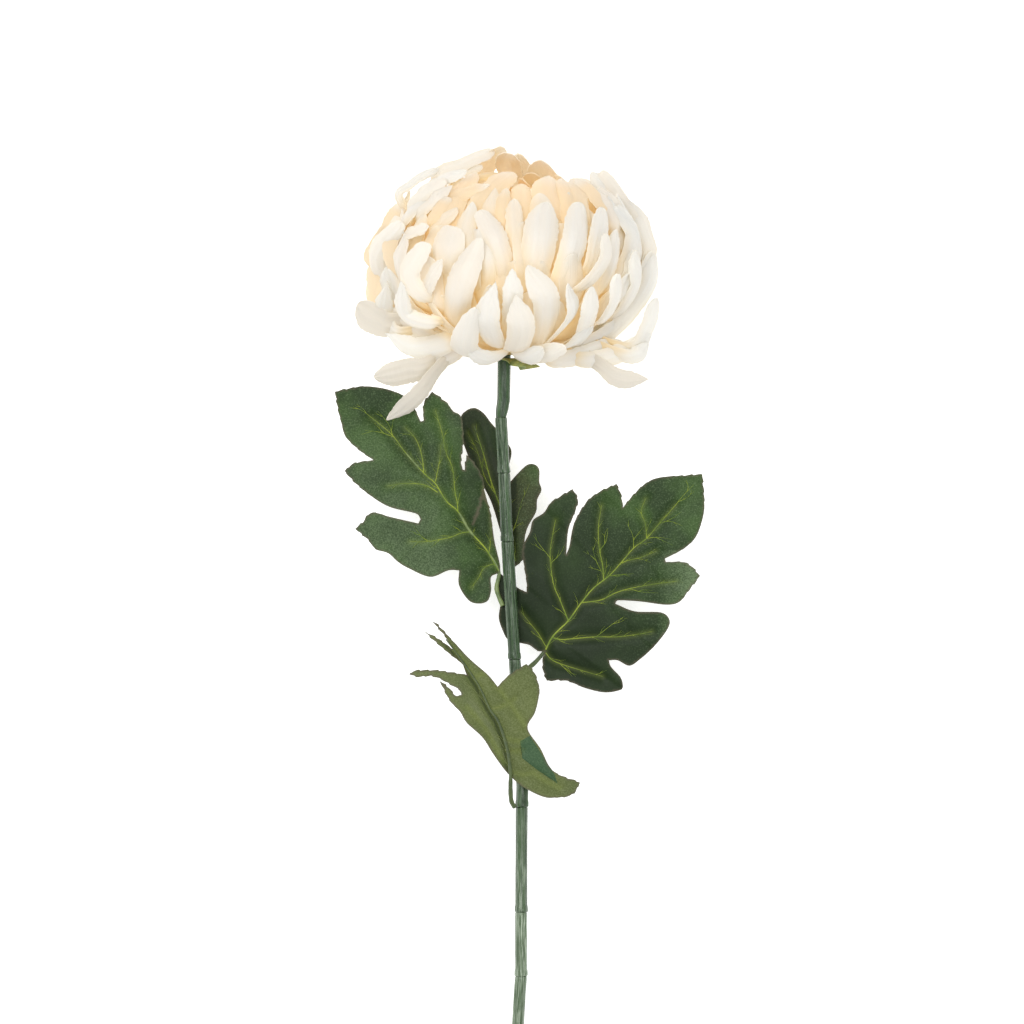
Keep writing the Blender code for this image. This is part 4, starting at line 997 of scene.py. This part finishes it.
def petal_piece(name, petals, settings, surface, rows, columns, seed, golden=False):
    """Many petals as one piece."""
    draw = random.Random(seed)
    sheets, numbers, faces = [], [], []
    for start, (points, width, roll, rest_height) in enumerate(petals):
        sheet, marks = petal_sheet(points, width, roll, rest_height, settings, draw, rows, columns, golden)
        sheets.append(sheet)
        numbers.append(marks)
        faces += sheet_faces(rows, columns, start * len(sheet))
    points = np.concatenate(sheets)
    marks = {label: np.concatenate([each[label] for each in numbers]) for label in numbers[0]}
    marks["depth"] = depth_in_ball(points)
    made = add_piece(name, points, faces, [surface], numbers=marks)
    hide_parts("bloom")


def heart(surface):
    """The core that the petals' roots are packed on, puckered where they meet it."""
    rings, sides = 40, 72
    points = []
    for ring in range(rings + 1):
        down = math.pi * ring / rings
        for turn in range(sides):
            around = math.tau * turn / sides
            swell = 1 + 0.035 * math.sin(9 * around + 7 * down) * math.sin(down) + 0.02 * math.sin(23 * down)
            points.append((CORE_CENTRE.x + CORE_RADIUS * math.sin(down) * math.sin(around) * swell,
                           CORE_CENTRE.y - CORE_HALF_HEIGHT * math.cos(down) * swell,
                           CORE_CENTRE.z + CORE_RADIUS * math.sin(down) * math.cos(around) * swell))
    made = add_piece("head_heart", points, tube_faces(rings + 1, sides), [surface])
    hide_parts("bloom")


# Calyx


def sepal_reach(angle):
    """How far the star reaches at an angle from the front."""
    count = len(SEPAL_REACHES)
    place = angle / math.tau * count
    nearest = round(place) % count
    off = abs(place - round(place)) * 2
    return SEPAL_NOTCH + (SEPAL_REACHES[nearest] - SEPAL_NOTCH) * (1 - off) ** 1.25 * (1 + 0.5 * off)


def calyx_star(surface):
    """The star of sepals, each with a raised middle and an edge that waves."""
    turns, rings = 324, 9
    inner = NECK_RADIUS / MM + 0.15
    points = []
    for layer in (0, 1):
        for ring in range(rings):
            share = ring / (rings - 1)
            for turn in range(turns):
                angle = math.tau * turn / turns
                reach = inner + (sepal_reach(angle) - inner) * share
                ridge = 0.25 * math.cos(angle * len(SEPAL_REACHES)) * share
                wave = 0.3 * math.sin(angle * 5 + 1) * share ** 2
                thick = 0.35 + 0.45 * (1 - share)
                droop = SEPAL_DROOP * share ** 2 * max(0.0, math.cos(angle - SEPAL_DROOP_AT)) ** 2
                rise = CALYX_Y / MM + 0.06 * (reach - inner) + (ridge + wave) * 0.5 + layer * thick - droop
                points.append((math.sin(angle) * reach * MM, rise * MM, math.cos(angle) * reach * MM))
    made = add_piece("calyx_star", points, shell_faces(rings, turns), [surface])
    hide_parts("calyx")


# Stem


def stem_point(y):
    """The stem's centre at a height."""
    for (x_high, y_high), (x_low, y_low) in zip(STEM_LINE, STEM_LINE[1:]):
        if y >= y_low * MM:
            share = max(0.0, (y_high * MM - y) / ((y_high - y_low) * MM))
            return (x_high + (x_low - x_high) * share) * MM
    return STEM_LINE[-1][0] * MM


def sleeve_profile(number, top, bottom):
    """The radius of one length of the stem at heights from its top to its bottom."""
    first = number == 1
    last = number == len(STEM_JOINTS) + 1
    high = top if first else top - SLEEVE_GAP / 2
    low = bottom if last else bottom + SLEEVE_GAP / 2
    body = NECK_RADIUS if first else STEM_RADIUS
    places = [low, low + 0.5 * MM, low + 2.3 * MM, low + 3.4 * MM, high - 1.6 * MM, high - 0.4 * MM, high]
    radii = [COLLAR_RADIUS * 0.9, COLLAR_RADIUS, COLLAR_RADIUS * 0.98, body, body, body * 0.98, body * 0.9]
    if first:
        radii[:4] = [WAIST_RADIUS, WAIST_RADIUS * 1.08, body * 0.9, body * 0.96]
    if last:
        radii[:4] = [STEM_END_RADIUS * 0.97, STEM_END_RADIUS, STEM_END_RADIUS, body]
    count = int((high - low) / RING_STEP)
    heights = sorted({*places, *(low + (high - low) * i / count for i in range(count))})
    return heights, np.interp(heights, places, radii)


def sleeve(number, top, bottom, settings, surface):
    """One moulded length of the stem: grooved along it, with a torn lip at each joint."""
    heights, radii = sleeve_profile(number, top, bottom)
    sides = 48
    draw = random.Random(number)
    grooves = [(draw.choice((3, 5, 7, 11)), draw.uniform(0, math.tau), draw.uniform(-80, 80))
               for _ in range(4)]
    points, rods, crests = [], [], []
    for radius_is_bore in (False, True):
        for y, radius in zip(heights, radii):
            end = min(y - heights[0], heights[-1] - y)
            middle = stem_point(y)
            for turn in range(sides):
                angle = math.tau * turn / sides
                waves = [math.sin(count * angle + phase + drift * y) for count, phase, drift in grooves]
                crest = 0.5 + sum(waves) / 6
                torn = 0.12 * MM * math.sin(angle * 3 + number * 2) if end < 0.1 * MM else 0.0
                reach = BORE_RADIUS if radius_is_bore else radius + settings.groove * (crest - 0.5) * 2
                points.append((middle + math.sin(angle) * reach, y + torn, -math.cos(angle) * reach))
                rods.append((angle * STEM_RADIUS, y, number * 0.01))
                crests.append(crest)
    faces = shell_faces(len(heights), sides)
    numbers = {"rod": rods, "crest": crests, "worn": [SLEEVE_WEAR[number - 1]] * len(points)}
    made = add_piece(f"stem_length_{number}", points, faces, [surface], numbers=numbers, crease=70)
    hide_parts(f"stem_sleeve_{number}")


# Leaves


def distance_to_line(x, y, line):
    """Distance to a polyline, with the side of it that the point is on and the share along it."""
    best = (math.inf, 1.0, 0.0)
    for index, ((ax, ay), (bx, by)) in enumerate(zip(line, line[1:])):
        dx, dy = bx - ax, by - ay
        share = max(0.0, min(1.0, ((x - ax) * dx + (y - ay) * dy) / (dx * dx + dy * dy)))
        gap = math.hypot(x - ax - dx * share, y - ay - dy * share)
        if gap < best[0]:
            turn = dx * (y - ay) - dy * (x - ax)
            best = (gap, math.copysign(1.0, turn), (index + share) / (len(line) - 1))
    return best


def left_height(x, y):
    """Height of the left blade over the stem's plane, in millimetres."""
    gap, _, along = distance_to_line(x, y, LEFT_RIB)
    return -1.5 + 5.5 * math.sin(math.pi * min(1.0, along * 0.8)) + 0.10 * gap - 0.0022 * gap ** 2


def right_height(x, y):
    """Height of the right blade: it starts behind the stem and rises to its tip."""
    gap, _, along = distance_to_line(x, y, RIGHT_RIB)
    behind = 0.14 * min(0.0, x - 22)
    return -3.2 + 8.0 * along + behind + 0.10 * gap - 0.0026 * gap ** 2


def back_height(x, y):
    """Height of the back blade, which stands clear behind the stem."""
    gap, _, along = distance_to_line(x, y, BACK_RIB)
    return -6.4 - 9.0 * math.sin(math.pi * 0.5 * along) - 0.12 * gap


def lower_height(x, y):
    """Height of the lower blade: folded along its rib in front of the stem, with its back to the front."""
    gap, side, along = distance_to_line(x, y, LOWER_RIB)
    fall = 0.85 if side > 0 else 0.22
    return 8.5 + 10.0 * along - fall * gap


def left_sheen_and_shade(x, y):
    """How pale the left blade is painted: a painted sheen that grows towards its foot, and painted shade
    beside the stem.
    """
    beside_stem = min(1.0, max(0.0, (x + 32) / 16)) * (y < -30)
    return max(0.10 + 0.5 * (-35 - y) / 60, -0.12) - 0.7 * beside_stem


def right_paleness_and_shade(x, y):
    """Painted shade on the right blade, deepening towards the stem and its foot, and one paler lobe at the
    right.
    """
    if y < -86 and x > 72:
        return 0.9 * (x - 72) / 14
    return 0.04 - 0.0135 * max(0.0, 74 - x) - 0.0075 * max(0.0, -66 - y)


def back_paleness_and_shade(x, _):
    """The back blade: painted shade to the left of the stem, and paler at its right edge."""
    return 0.15 if x > 6 else -0.72


def lower_paleness_and_shadow(x, y):
    """The lower blade, seen from behind: paler thin lobes, and a painted shadow in the fold beside its rib.
    """
    gap, side, _ = distance_to_line(x, y, LOWER_RIB)
    fold = math.exp(-((gap - 1.4) / 1.3) ** 2) * (side > 0)
    return 0.25 + 0.4 * max(0.0, -x - 25) / 20 - 1.1 * fold


def is_corner(before, here, after):
    """Whether an outline turns sharply at a point."""
    first = math.atan2(here[1] - before[1], here[0] - before[0])
    second = math.atan2(after[1] - here[1], after[0] - here[0])
    return abs(math.remainder(second - first, math.tau)) > SHARP_TURN


def fine_outline(outline, step):
    """The outline with its curves smoothed and its corners kept, and small teeth next to the lobes' tips."""
    count = len(outline)
    spots = [Vector(p) for p in outline]
    corners = [is_corner(outline[i - 1], outline[i], outline[(i + 1) % count]) for i in range(count)]
    area = sum(a.x * b.y - b.x * a.y for a, b in zip(spots, spots[1:] + spots[:1]))
    way = math.copysign(1.0, area)
    line, tips = [], []
    for i, here in enumerate(spots):
        there = spots[(i + 1) % count]
        chord = there - here
        leave = chord if corners[i] else (there - spots[i - 1]) / 2
        arrive = chord if corners[(i + 1) % count] else (spots[(i + 2) % count] - here) / 2
        leave = leave * min(1.0, 1.6 * chord.length / max(leave.length, 1e-6))
        arrive = arrive * min(1.0, 1.6 * chord.length / max(arrive.length, 1e-6))
        turn = spots[i - 1] - here
        if corners[i] and way * (turn.x * chord.y - turn.y * chord.x) < 0:
            tips.append(here)
        parts = max(1, round(chord.length / step))
        for part in range(parts):
            t = part / parts
            place = here * (2 * t ** 3 - 3 * t ** 2 + 1) + leave * (t ** 3 - 2 * t ** 2 + t)
            line.append(place + there * (3 * t ** 2 - 2 * t ** 3) + arrive * (t ** 3 - t ** 2))
    teeth = []
    travelled = 0.0
    for i, here in enumerate(line):
        tangent = line[(i + 1) % len(line)] - line[i - 1]
        travelled += (here - line[i - 1]).length if i else 0.0
        near = min((here - tip).length for tip in tips) if tips else FAR
        size = max(0.0, 1 - near / TOOTHED_REACH) * min(1.0, near / 3)
        saw = (travelled / TOOTH_LENGTH) % 1.0
        normal = Vector((tangent.y, -tangent.x)).normalized() * way
        teeth.append(here + normal * size * (saw - 0.35))
    return teeth


def dense_line(line, step):
    """A smooth line through the points, with a point every step."""
    points = [Vector(p) for p in line]
    spans = len(points) - 1
    made = []
    for span in range(spans):
        parts = max(1, round((points[span + 1] - points[span]).length / step))
        made += [spline_point(points, (span + part / parts) / spans) for part in range(parts)]
    return made + [points[-1]]


def within(points, outline):
    """Which of many points are inside a closed outline."""
    found = np.zeros(len(points), bool)
    for a, b in zip(outline, outline[1:] + outline[:1]):
        rises = (a.y > points[:, 1]) != (b.y > points[:, 1])
        edge = (b.x - a.x) * (points[:, 1] - a.y) / ((b.y - a.y) or 1e-12) + a.x
        found ^= rises & (points[:, 0] < edge)
    return found


def gaps_to(points, lines):
    """Each point's distance to the nearest of several lines."""
    best = np.full(len(points), FAR)
    for line in lines:
        for a, b in zip(line, line[1:]):
            start, way = np.array(a), np.array(b - a)
            share = np.clip((points - start) @ way / max(way @ way, 1e-9), 0, 1)
            gap = np.linalg.norm(points - start - share[:, None] * way, axis=1)
            best = np.minimum(best, gap)
    return best


class Leaf:
    """One leaf's shape: its lines, and the height of its cloth with the puffs between its veins."""

    def __init__(self, outline, rib, veins, height, settings, seed):
        self.step = settings.spacing / MM
        self.puff = settings.puff / MM
        self.outline = fine_outline(outline, self.step * 0.8)
        self.rib = dense_line(rib, self.step)
        self.veins = [(width, dense_line(points, self.step)) for width, *points in veins]
        self.height = height
        self.seed = seed

    def lines(self):
        """The lines that crease the cloth."""
        return [self.rib] + [line for width, line in self.veins if width > CREASING_WIDTH]

    def heights(self, points):
        """Heights of the upper face, in millimetres."""
        base = np.array([self.height(x, y) for x, y in points])
        gap = gaps_to(points, self.lines())
        x, y = points[:, 0], points[:, 1]
        roll = np.sin(x / 7.3 + self.seed) * np.cos(y / 8.9 + 2 * self.seed)
        roll += 0.6 * np.sin(x / 3.9 - y / 5.1 + self.seed)
        return base + self.puff * (PUFF_RISE - np.exp(-(gap / PUFF_REACH) ** 2)) + ROLL_HEIGHT * roll

    def mesh(self, extra):
        """The flat triangles of the blade, held to its outline, its creases and any extra loop."""
        low = np.min(self.outline, axis=0)
        high = np.max(self.outline, axis=0)
        rows = np.arange(low[1], high[1], self.step * 0.87)
        columns = np.arange(low[0], high[0], self.step)
        half = self.step / 2
        grid = np.array([(x + half * (row % 2), y) for row, y in enumerate(rows) for x in columns])
        ring = self.outline + self.outline[:1]
        inner = grid[within(grid, self.outline)]
        inner = inner[gaps_to(inner, [ring]) > self.step * 0.55]
        inner = inner[gaps_to(inner, self.lines()) > self.step * 0.5]
        spots = list(self.outline)
        edges = [(i, (i + 1) % len(spots)) for i in range(len(spots))]
        loop = list(range(len(spots)))
        for line in self.lines() + extra:
            kept = [p for p, ok in zip(line, within(np.array([tuple(p) for p in line]), self.outline)) if ok]
            edges += [(len(spots) + i, len(spots) + i + 1) for i in range(len(kept) - 1)]
            spots += kept
        spots += [Vector(p) for p in inner]
        flat, _, triangles, _, _, _ = delaunay_2d_cdt(spots, edges, [loop], 1, 1e-4)
        return np.array([tuple(p) for p in flat]), triangles


def blade_piece(name, leaf, pale, settings, surfaces, patch=None):
    """A leaf's blade: an upper face, a lower face and the cut edge between them."""
    extra = [[Vector(p) for p in patch + patch[:1]]] if patch else []
    flat, triangles = leaf.mesh(extra)
    heights = leaf.heights(flat)
    size = len(flat)
    upper = np.column_stack([flat, heights]) * MM
    lower = upper - np.array([0, 0, settings.thickness])
    faces = [tuple(t) for t in triangles]
    slots = [0] * len(faces)
    if patch:
        middles = np.array([flat[list(t)].mean(axis=0) for t in faces])
        slots = [3 if inside else 0 for inside in within(middles, [Vector(p) for p in patch])]
    uses = {}
    for a, b, c in faces:
        for pair in ((a, b), (b, c), (c, a)):
            uses[frozenset(pair)] = pair if frozenset(pair) not in uses else None
    rim = [(b, a, size + a, size + b) for a, b in (pair for pair in uses.values() if pair)]
    slots += [1] * len(faces) + [2] * len(rim)
    faces += [(size + c, size + b, size + a) for a, b, c in faces] + rim
    close = np.exp(-(gaps_to(flat, leaf.lines()) / 1.2) ** 2)
    edge = 0.7 * np.exp(-(gaps_to(flat, [leaf.outline + leaf.outline[:1]]) / 0.5) ** 2)
    # Pale numbers: above zero the blade is painted paler, a painted sheen on the left blade, and below zero
    # it is painted with shade
    paleness = np.array([min(1.0, max(-1.0, pale(x, y))) for x, y in flat])
    numbers = {"vein": np.tile(close, 2), "pale": np.tile(paleness, 2), "edge": np.tile(edge, 2)}
    made = add_piece(name, np.concatenate([upper, lower]), faces, surfaces, slots, numbers, crease=60)
    return made


def ribbon(points, heights, widths, lift, way):
    """The points and faces of a low ridge along a line, on the upper side (1) or the lower one (-1)."""
    spots, faces = [], []
    last = len(points) - 1
    for i, (here, height, width) in enumerate(zip(points, heights, widths)):
        ahead = points[min(i + 1, last)] - points[max(i - 1, 0)]
        side = Vector((ahead.y, -ahead.x)).normalized() * width / 2
        foot = height + way * (lift - 0.12)
        crown = height + way * (lift + width * 0.22)
        spots += [(here.x - side.x, here.y - side.y, foot), (here.x, here.y, crown),
                  (here.x + side.x, here.y + side.y, foot)]
    for i in range(last):
        low = 3 * i
        for a, b in ((0, 1), (1, 2), (2, 0)):
            quad = (low + a, low + b, low + 3 + b, low + 3 + a)
            faces.append(quad if way > 0 else tuple(reversed(quad)))
    faces += [(2, 1, 0), (3 * last, 3 * last + 1, 3 * last + 2)]
    return spots, faces


def twigs(line, draw, step, reach, width):
    """Small veins that leave a vein on either side."""
    made = []
    place = draw.randint(2, 4)
    side = draw.choice((-1, 1))
    while place < len(line) - 2:
        here = line[place]
        ahead = (line[place + 1] - line[place - 1]).normalized()
        angle = math.radians(draw.uniform(20, 34)) * side
        length = reach * draw.uniform(0.45, 1.0) * (1 - 0.5 * place / len(line))
        points = [here]
        for _ in range(max(2, round(length / step))):
            cosine, sine = math.cos(angle), math.sin(angle)
            way = Vector((ahead.x * cosine - ahead.y * sine, ahead.x * sine + ahead.y * cosine))
            points.append(points[-1] + way * step)
            angle += math.radians(draw.uniform(-14, 12)) * side
        made.append((width, points))
        place += draw.randint(4, 8)
        side = -side if draw.random() < 0.75 else side
    return made


def vein_piece(name, leaf, settings, surface, way, boldness):
    """All of a leaf's veins on one side of its blade, thinner towards their ends."""
    draw = random.Random(leaf.seed)
    veins = [(MIDRIB_WIDTH, leaf.rib)] + leaf.veins
    for width, line in list(veins):
        branches = twigs(line, draw, leaf.step, TWIG_REACH, TWIG_WIDTH)
        veins += branches
        for _, branch in branches:
            veins += twigs(branch, draw, leaf.step, TWIG_REACH / 3, LAST_TWIG_WIDTH)
    points, faces = [], []
    for width, line in veins:
        flat = np.array([tuple(p) for p in line])
        inside = within(flat, leaf.outline)
        edge = gaps_to(flat, [leaf.outline + leaf.outline[:1]])
        out = (i for i in range(1, len(line)) if not inside[i] or edge[i] < VEIN_MARGIN)
        keep = next(out, len(line))
        if keep < 3:
            continue
        line, flat = line[:keep], flat[:keep]
        heights = leaf.heights(flat)
        if way < 0:
            heights = heights - settings.thickness / MM
        widths = width * boldness * np.linspace(1.0, 0.35, keep)
        spots, sides = ribbon(line, heights, widths, 0.06, way)
        faces += [tuple(len(points) + i for i in face) for face in sides]
        points += spots
    made = add_piece(name, np.array(points) * MM, faces, [surface])


def stalk_piece(name, node, rib, height, under, stalk, settings, surface):
    """The moulded stalk from the stem and the rib that it becomes along the blade."""
    slack = SOLID_BLADE - settings.thickness + TOUCH_GAP
    drop = (SOLID_BLADE + RIB_RADIUS + TOUCH_GAP - slack) if under else -(RIB_RADIUS + 0.1 * MM)
    marks = [Vector(p) * MM for p in stalk]
    radii = [STALK_RADIUS] * len(marks)
    last = len(rib) - 1
    for index, (x, y) in enumerate(rib):
        marks.append(Vector((x, y, height(x, y))) * MM - Vector((0, 0, drop)))
        radii.append(RIB_RADIUS * (1 - 0.62 * index / last))
    spans = len(marks) - 1
    points = []
    rows, sides = spans * 5 + 1, 14
    for row in range(rows):
        place = row / (rows - 1)
        centre = spline_point(marks, place)
        ahead = spline_point(marks, min(1.0, place + 0.01)) - spline_point(marks, max(0.0, place - 0.01))
        ahead.normalize()
        front = Vector((0, 0, 1))
        front = (front - ahead * front.dot(ahead)).normalized()
        side = ahead.cross(front)
        radius = float(np.interp(place * spans, range(spans + 1), radii))
        radius *= 1 + 0.06 * math.sin(row * 1.7)
        for turn in range(sides):
            angle = math.tau * turn / sides
            groove = 0.78 if not under and turn == sides // 2 else 1.0
            points.append(centre + (side * math.sin(angle) - front * math.cos(angle)) * radius * groove)
    faces = tube_faces(rows, sides)
    faces.append(tuple(reversed(range(sides))))
    faces.append(tuple(range(len(points) - sides, len(points))))
    made = add_piece(name, points, faces, [surface])
    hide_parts(node)


# Operators


class CHRYSANTHEMUM_OT_bloom(bpy.types.Operator):
    """Add the head: its heart, the small inner petals, and the large ones round and in front of them"""

    bl_idname = "chrysanthemum.bloom"
    bl_label = "Bloom"

    def execute(self, context):
        settings = context.scene.chrysanthemum_bloom
        satin = petal_surface(settings)
        heart(core_surface())
        between_petals = seen_petals(FILLING_PETALS)
        golden_petals = seen_petals(GOLDEN_PETALS)
        front_petals = seen_petals(SEEN_PETALS)
        petal_piece("petals_inner", inner_petals(), settings, satin, 26, 7, PETAL_SEED + 2)
        petal_piece("petals_between", between_petals, settings, satin, 50, 11, PETAL_SEED + 5)
        petal_piece("petals_golden", golden_petals, settings, satin, 50, 11, PETAL_SEED + 6, golden=True)
        petal_piece("petals_round", whorl_petals(), settings, satin, 40, 9, PETAL_SEED + 3)
        petal_piece("petals_front", front_petals, settings, satin, 56, 13, PETAL_SEED + 4)
        return {"FINISHED"}


class CHRYSANTHEMUM_OT_calyx(bpy.types.Operator):
    """Add the star of sepals under the head"""

    bl_idname = "chrysanthemum.calyx"
    bl_label = "Calyx"

    def execute(self, context):
        settings = context.scene.chrysanthemum_stem
        calyx_star(plain_surface("calyx_plastic", settings.pale, linear(160, 166, 96), 0.5, 300.0))
        return {"FINISHED"}


class CHRYSANTHEMUM_OT_stem(bpy.types.Operator):
    """Add the eight moulded lengths of the stem and finish the wire inside them"""

    bl_idname = "chrysanthemum.stem"
    bl_label = "Stem"

    def execute(self, context):
        settings = context.scene.chrysanthemum_stem
        surface = stem_surface(settings)
        ends = [STEM_TOP] + [y * MM for y in STEM_JOINTS] + [STEM_END_Y]
        for number, (top, bottom) in enumerate(zip(ends, ends[1:]), start=1):
            sleeve(number, top, bottom, settings, surface)
        wire = frame["nodes"]["stem_wire"]
        wire.data.materials.clear()
        wire.data.materials.append(steel_surface())
        return {"FINISHED"}


class CHRYSANTHEMUM_OT_leaves(bpy.types.Operator):
    """Add the four leaves with their veins on both sides"""

    bl_idname = "chrysanthemum.leaves"
    bl_label = "Leaves"

    def execute(self, context):
        settings = context.scene.chrysanthemum_leaf
        upper = leaf_surface("leaf_upper", settings, settings.green, settings.shade, settings.dust_and_sheen)
        brown = leaf_surface("leaf_shaded", settings, settings.green, settings.shade, settings.dust_and_sheen,
                             linear(62, 56, 34))
        under = leaf_surface("leaf_under", settings, settings.olive, linear(74, 86, 42),
                             linear(126, 134, 92))
        teal = leaf_surface("leaf_turned", settings, settings.teal, linear(44, 72, 44), linear(84, 110, 78))
        margin = plain_surface("leaf_margin", settings.margin, settings.shade, 0.7, 200.0)
        printed = plain_surface("vein_print", settings.vein, linear(112, 136, 52), 0.5, 150.0)
        pressed = plain_surface("vein_pressed", linear(122, 130, 72), linear(94, 106, 52), 0.55, 150.0)
        shapes = (
            ("left", LEFT_OUTLINE, LEFT_RIB, LEFT_VEINS, left_height, 1, left_sheen_and_shade),
            ("right", RIGHT_OUTLINE, RIGHT_RIB, RIGHT_VEINS, right_height, 2, right_paleness_and_shade),
            ("back", BACK_OUTLINE, BACK_RIB, BACK_VEINS, back_height, 3, back_paleness_and_shade),
            ("lower", LOWER_OUTLINE, LOWER_RIB, LOWER_VEINS, lower_height, 4, lower_paleness_and_shadow),
        )
        for side, outline, rib, veins, height, seed, pale in shapes:
            leaf = Leaf(outline, rib, veins, height, settings, seed)
            lower = side == "lower"
            top = brown if side == "back" else upper
            faces = [under, upper, margin, teal] if lower else [top, under, margin]
            blade = blade_piece(f"leaf_{side}_blade", leaf, pale, settings, faces,
                                TURNED_PATCH if lower else None)
            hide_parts(f"leaf_{side}")
            vein_piece(f"leaf_{side}_veins", leaf, settings, pressed if lower else printed, 1,
                       0.8 if lower else 1.0)
            vein_piece(f"leaf_{side}_veins_behind", leaf, settings, printed if lower else pressed, -1, 0.8)
        return {"FINISHED"}


class CHRYSANTHEMUM_OT_stalks(bpy.types.Operator):
    """Add the leaves' stalks and ribs"""

    bl_idname = "chrysanthemum.stalks"
    bl_label = "Stalks"

    def execute(self, context):
        settings = context.scene.chrysanthemum_leaf
        pale = context.scene.chrysanthemum_stem.pale
        surface = plain_surface("stalk_plastic", pale, linear(92, 112, 66), 0.45, 260.0)
        # Painted shade: a darker copy of the stalk plastic for the stalks behind the stem and in the lower
        # leaf's fold
        dark = plain_surface("stalk_shaded", linear(78, 92, 48), linear(58, 74, 38), 0.45, 260.0)
        stalk_piece("stalk_left", "rib_left", LEFT_RIB, left_height, True, LEFT_STALK, settings, surface)
        stalk_piece("stalk_right", "rib_right", RIGHT_RIB, right_height, True, RIGHT_STALK, settings, dark)
        stalk_piece("stalk_back", "rib_back", BACK_RIB, back_height, True, BACK_STALK, settings, dark)
        stalk_piece("stalk_lower", "rib_lower", LOWER_RIB, lower_height, False, LOWER_STALK, settings, dark)
        return {"FINISHED"}


class CHRYSANTHEMUM_OT_stage(bpy.types.Operator):
    """Add the pale surface, the soft light and the camera that looks down on the flower"""

    bl_idname = "chrysanthemum.stage"
    bl_label = "Stage"

    def execute(self, context):
        settings = context.scene.chrysanthemum_stage
        add_floor(settings)
        add_light(settings)
        add_camera(settings)
        context.scene.view_settings.view_transform = "Standard"
        return {"FINISHED"}


def add_floor(settings):
    """A wide pale surface under the flower."""
    corners = [(x * FLOOR_HALF, y * FLOOR_HALF, -0.05 * MM) for x, y in ((-1, -1), (1, -1), (1, 1), (-1, 1))]
    mesh = bpy.data.meshes.new("floor")
    mesh.from_pydata(corners, [], [(0, 1, 2, 3)])
    paper = Surface("floor_paper")
    grain = paper.relief((paper.noise(paper.place(), 900.0, 2.0), 0.05, 0.05))
    mesh.materials.append(paper.finish({
        "Base Color": (*settings.floor, 1.0), "Roughness": 0.9, "Normal": grain,
        "Specular IOR Level": 0.1, "Emission Color": (1.0, 1.0, 1.0, 1.0), "Emission Strength": 0.56}))
    floor = put("floor", mesh)


def add_lamp(name, place, target, power):
    """A soft square lamp that faces a point."""
    lamp = bpy.data.lights.new(name, "AREA")
    lamp.size = LAMP_SIZE
    lamp.energy = power
    made = put(name, lamp)
    made.location = place
    made.rotation_euler = (target - place).to_track_quat("-Z", "Y").to_euler()


def add_light(settings):
    """An even sky, a broad main lamp over the bloom's left and a weaker one on the stem's side."""
    world = bpy.data.worlds.new("studio")
    world.use_nodes = True
    background = world.node_tree.nodes["Background"]
    background.inputs["Color"].default_value = (1.0, 1.0, 1.0, 1.0)
    background.inputs["Strength"].default_value = settings.sky
    bpy.context.scene.world = world
    head = FLOWER @ BLOOM_CENTRE
    add_lamp("key", head + KEY_PLACE, head, settings.key)
    add_lamp("fill", head + FILL_PLACE, head, settings.fill)


def add_camera(settings):
    """A long lens square to the stem, as in the photograph."""
    data = bpy.data.cameras.new("camera")
    data.sensor_width = 36.0
    data.lens = data.sensor_width * settings.distance / PHOTO_WIDTH
    made = put("camera", data)
    made.matrix_world = FLOWER @ Matrix.Translation(PHOTO_MIDDLE + Vector((0, 0, settings.distance)))
    bpy.context.scene.camera = made


class CHRYSANTHEMUM_PT_panel(bpy.types.Panel):
    """The flower's pieces, in the order in which they are added"""

    bl_label = "Chrysanthemum"
    bl_idname = "CHRYSANTHEMUM_PT_panel"
    bl_space_type = "VIEW_3D"
    bl_region_type = "UI"
    bl_category = "Chrysanthemum"

    def draw(self, context):
        for group, steps in (("bloom", ("bloom", )), ("stem", ("calyx", "stem", "stalks")),
                             ("leaf", ("leaves", )), ("stage", ("stage", ))):
            box = self.layout.box()
            settings = getattr(context.scene, f"chrysanthemum_{group}")
            for name in settings.__annotations__:
                box.prop(settings, name)
            for step in steps:
                box.operator(f"chrysanthemum.{step}")


GROUPS = {"bloom": BloomSettings, "leaf": LeafSettings, "stem": StemSettings, "stage": StageSettings}
OPERATORS = (CHRYSANTHEMUM_OT_bloom, CHRYSANTHEMUM_OT_calyx, CHRYSANTHEMUM_OT_stem, CHRYSANTHEMUM_OT_leaves,
             CHRYSANTHEMUM_OT_stalks, CHRYSANTHEMUM_OT_stage)


def register():
    """Make the settings, the operators and the panel known."""
    for group in GROUPS.values():
        bpy.utils.register_class(group)
    for name, group in GROUPS.items():
        setattr(bpy.types.Scene, f"chrysanthemum_{name}", bpy.props.PointerProperty(type=group))
    for one in (*OPERATORS, CHRYSANTHEMUM_PT_panel):
        bpy.utils.register_class(one)


def unregister():
    """Take them away again."""
    for one in reversed((*OPERATORS, CHRYSANTHEMUM_PT_panel)):
        bpy.utils.unregister_class(one)
    for name in GROUPS:
        delattr(bpy.types.Scene, f"chrysanthemum_{name}")
    for group in reversed(GROUPS.values()):
        bpy.utils.unregister_class(group)


def main():
    """Add every piece."""
    register()
    bpy.ops.chrysanthemum.stage()
    bpy.ops.chrysanthemum.bloom()
    bpy.ops.chrysanthemum.calyx()
    bpy.ops.chrysanthemum.stem()
    bpy.ops.chrysanthemum.leaves()
    bpy.ops.chrysanthemum.stalks()
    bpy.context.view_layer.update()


if __name__ == "__main__":
    main()
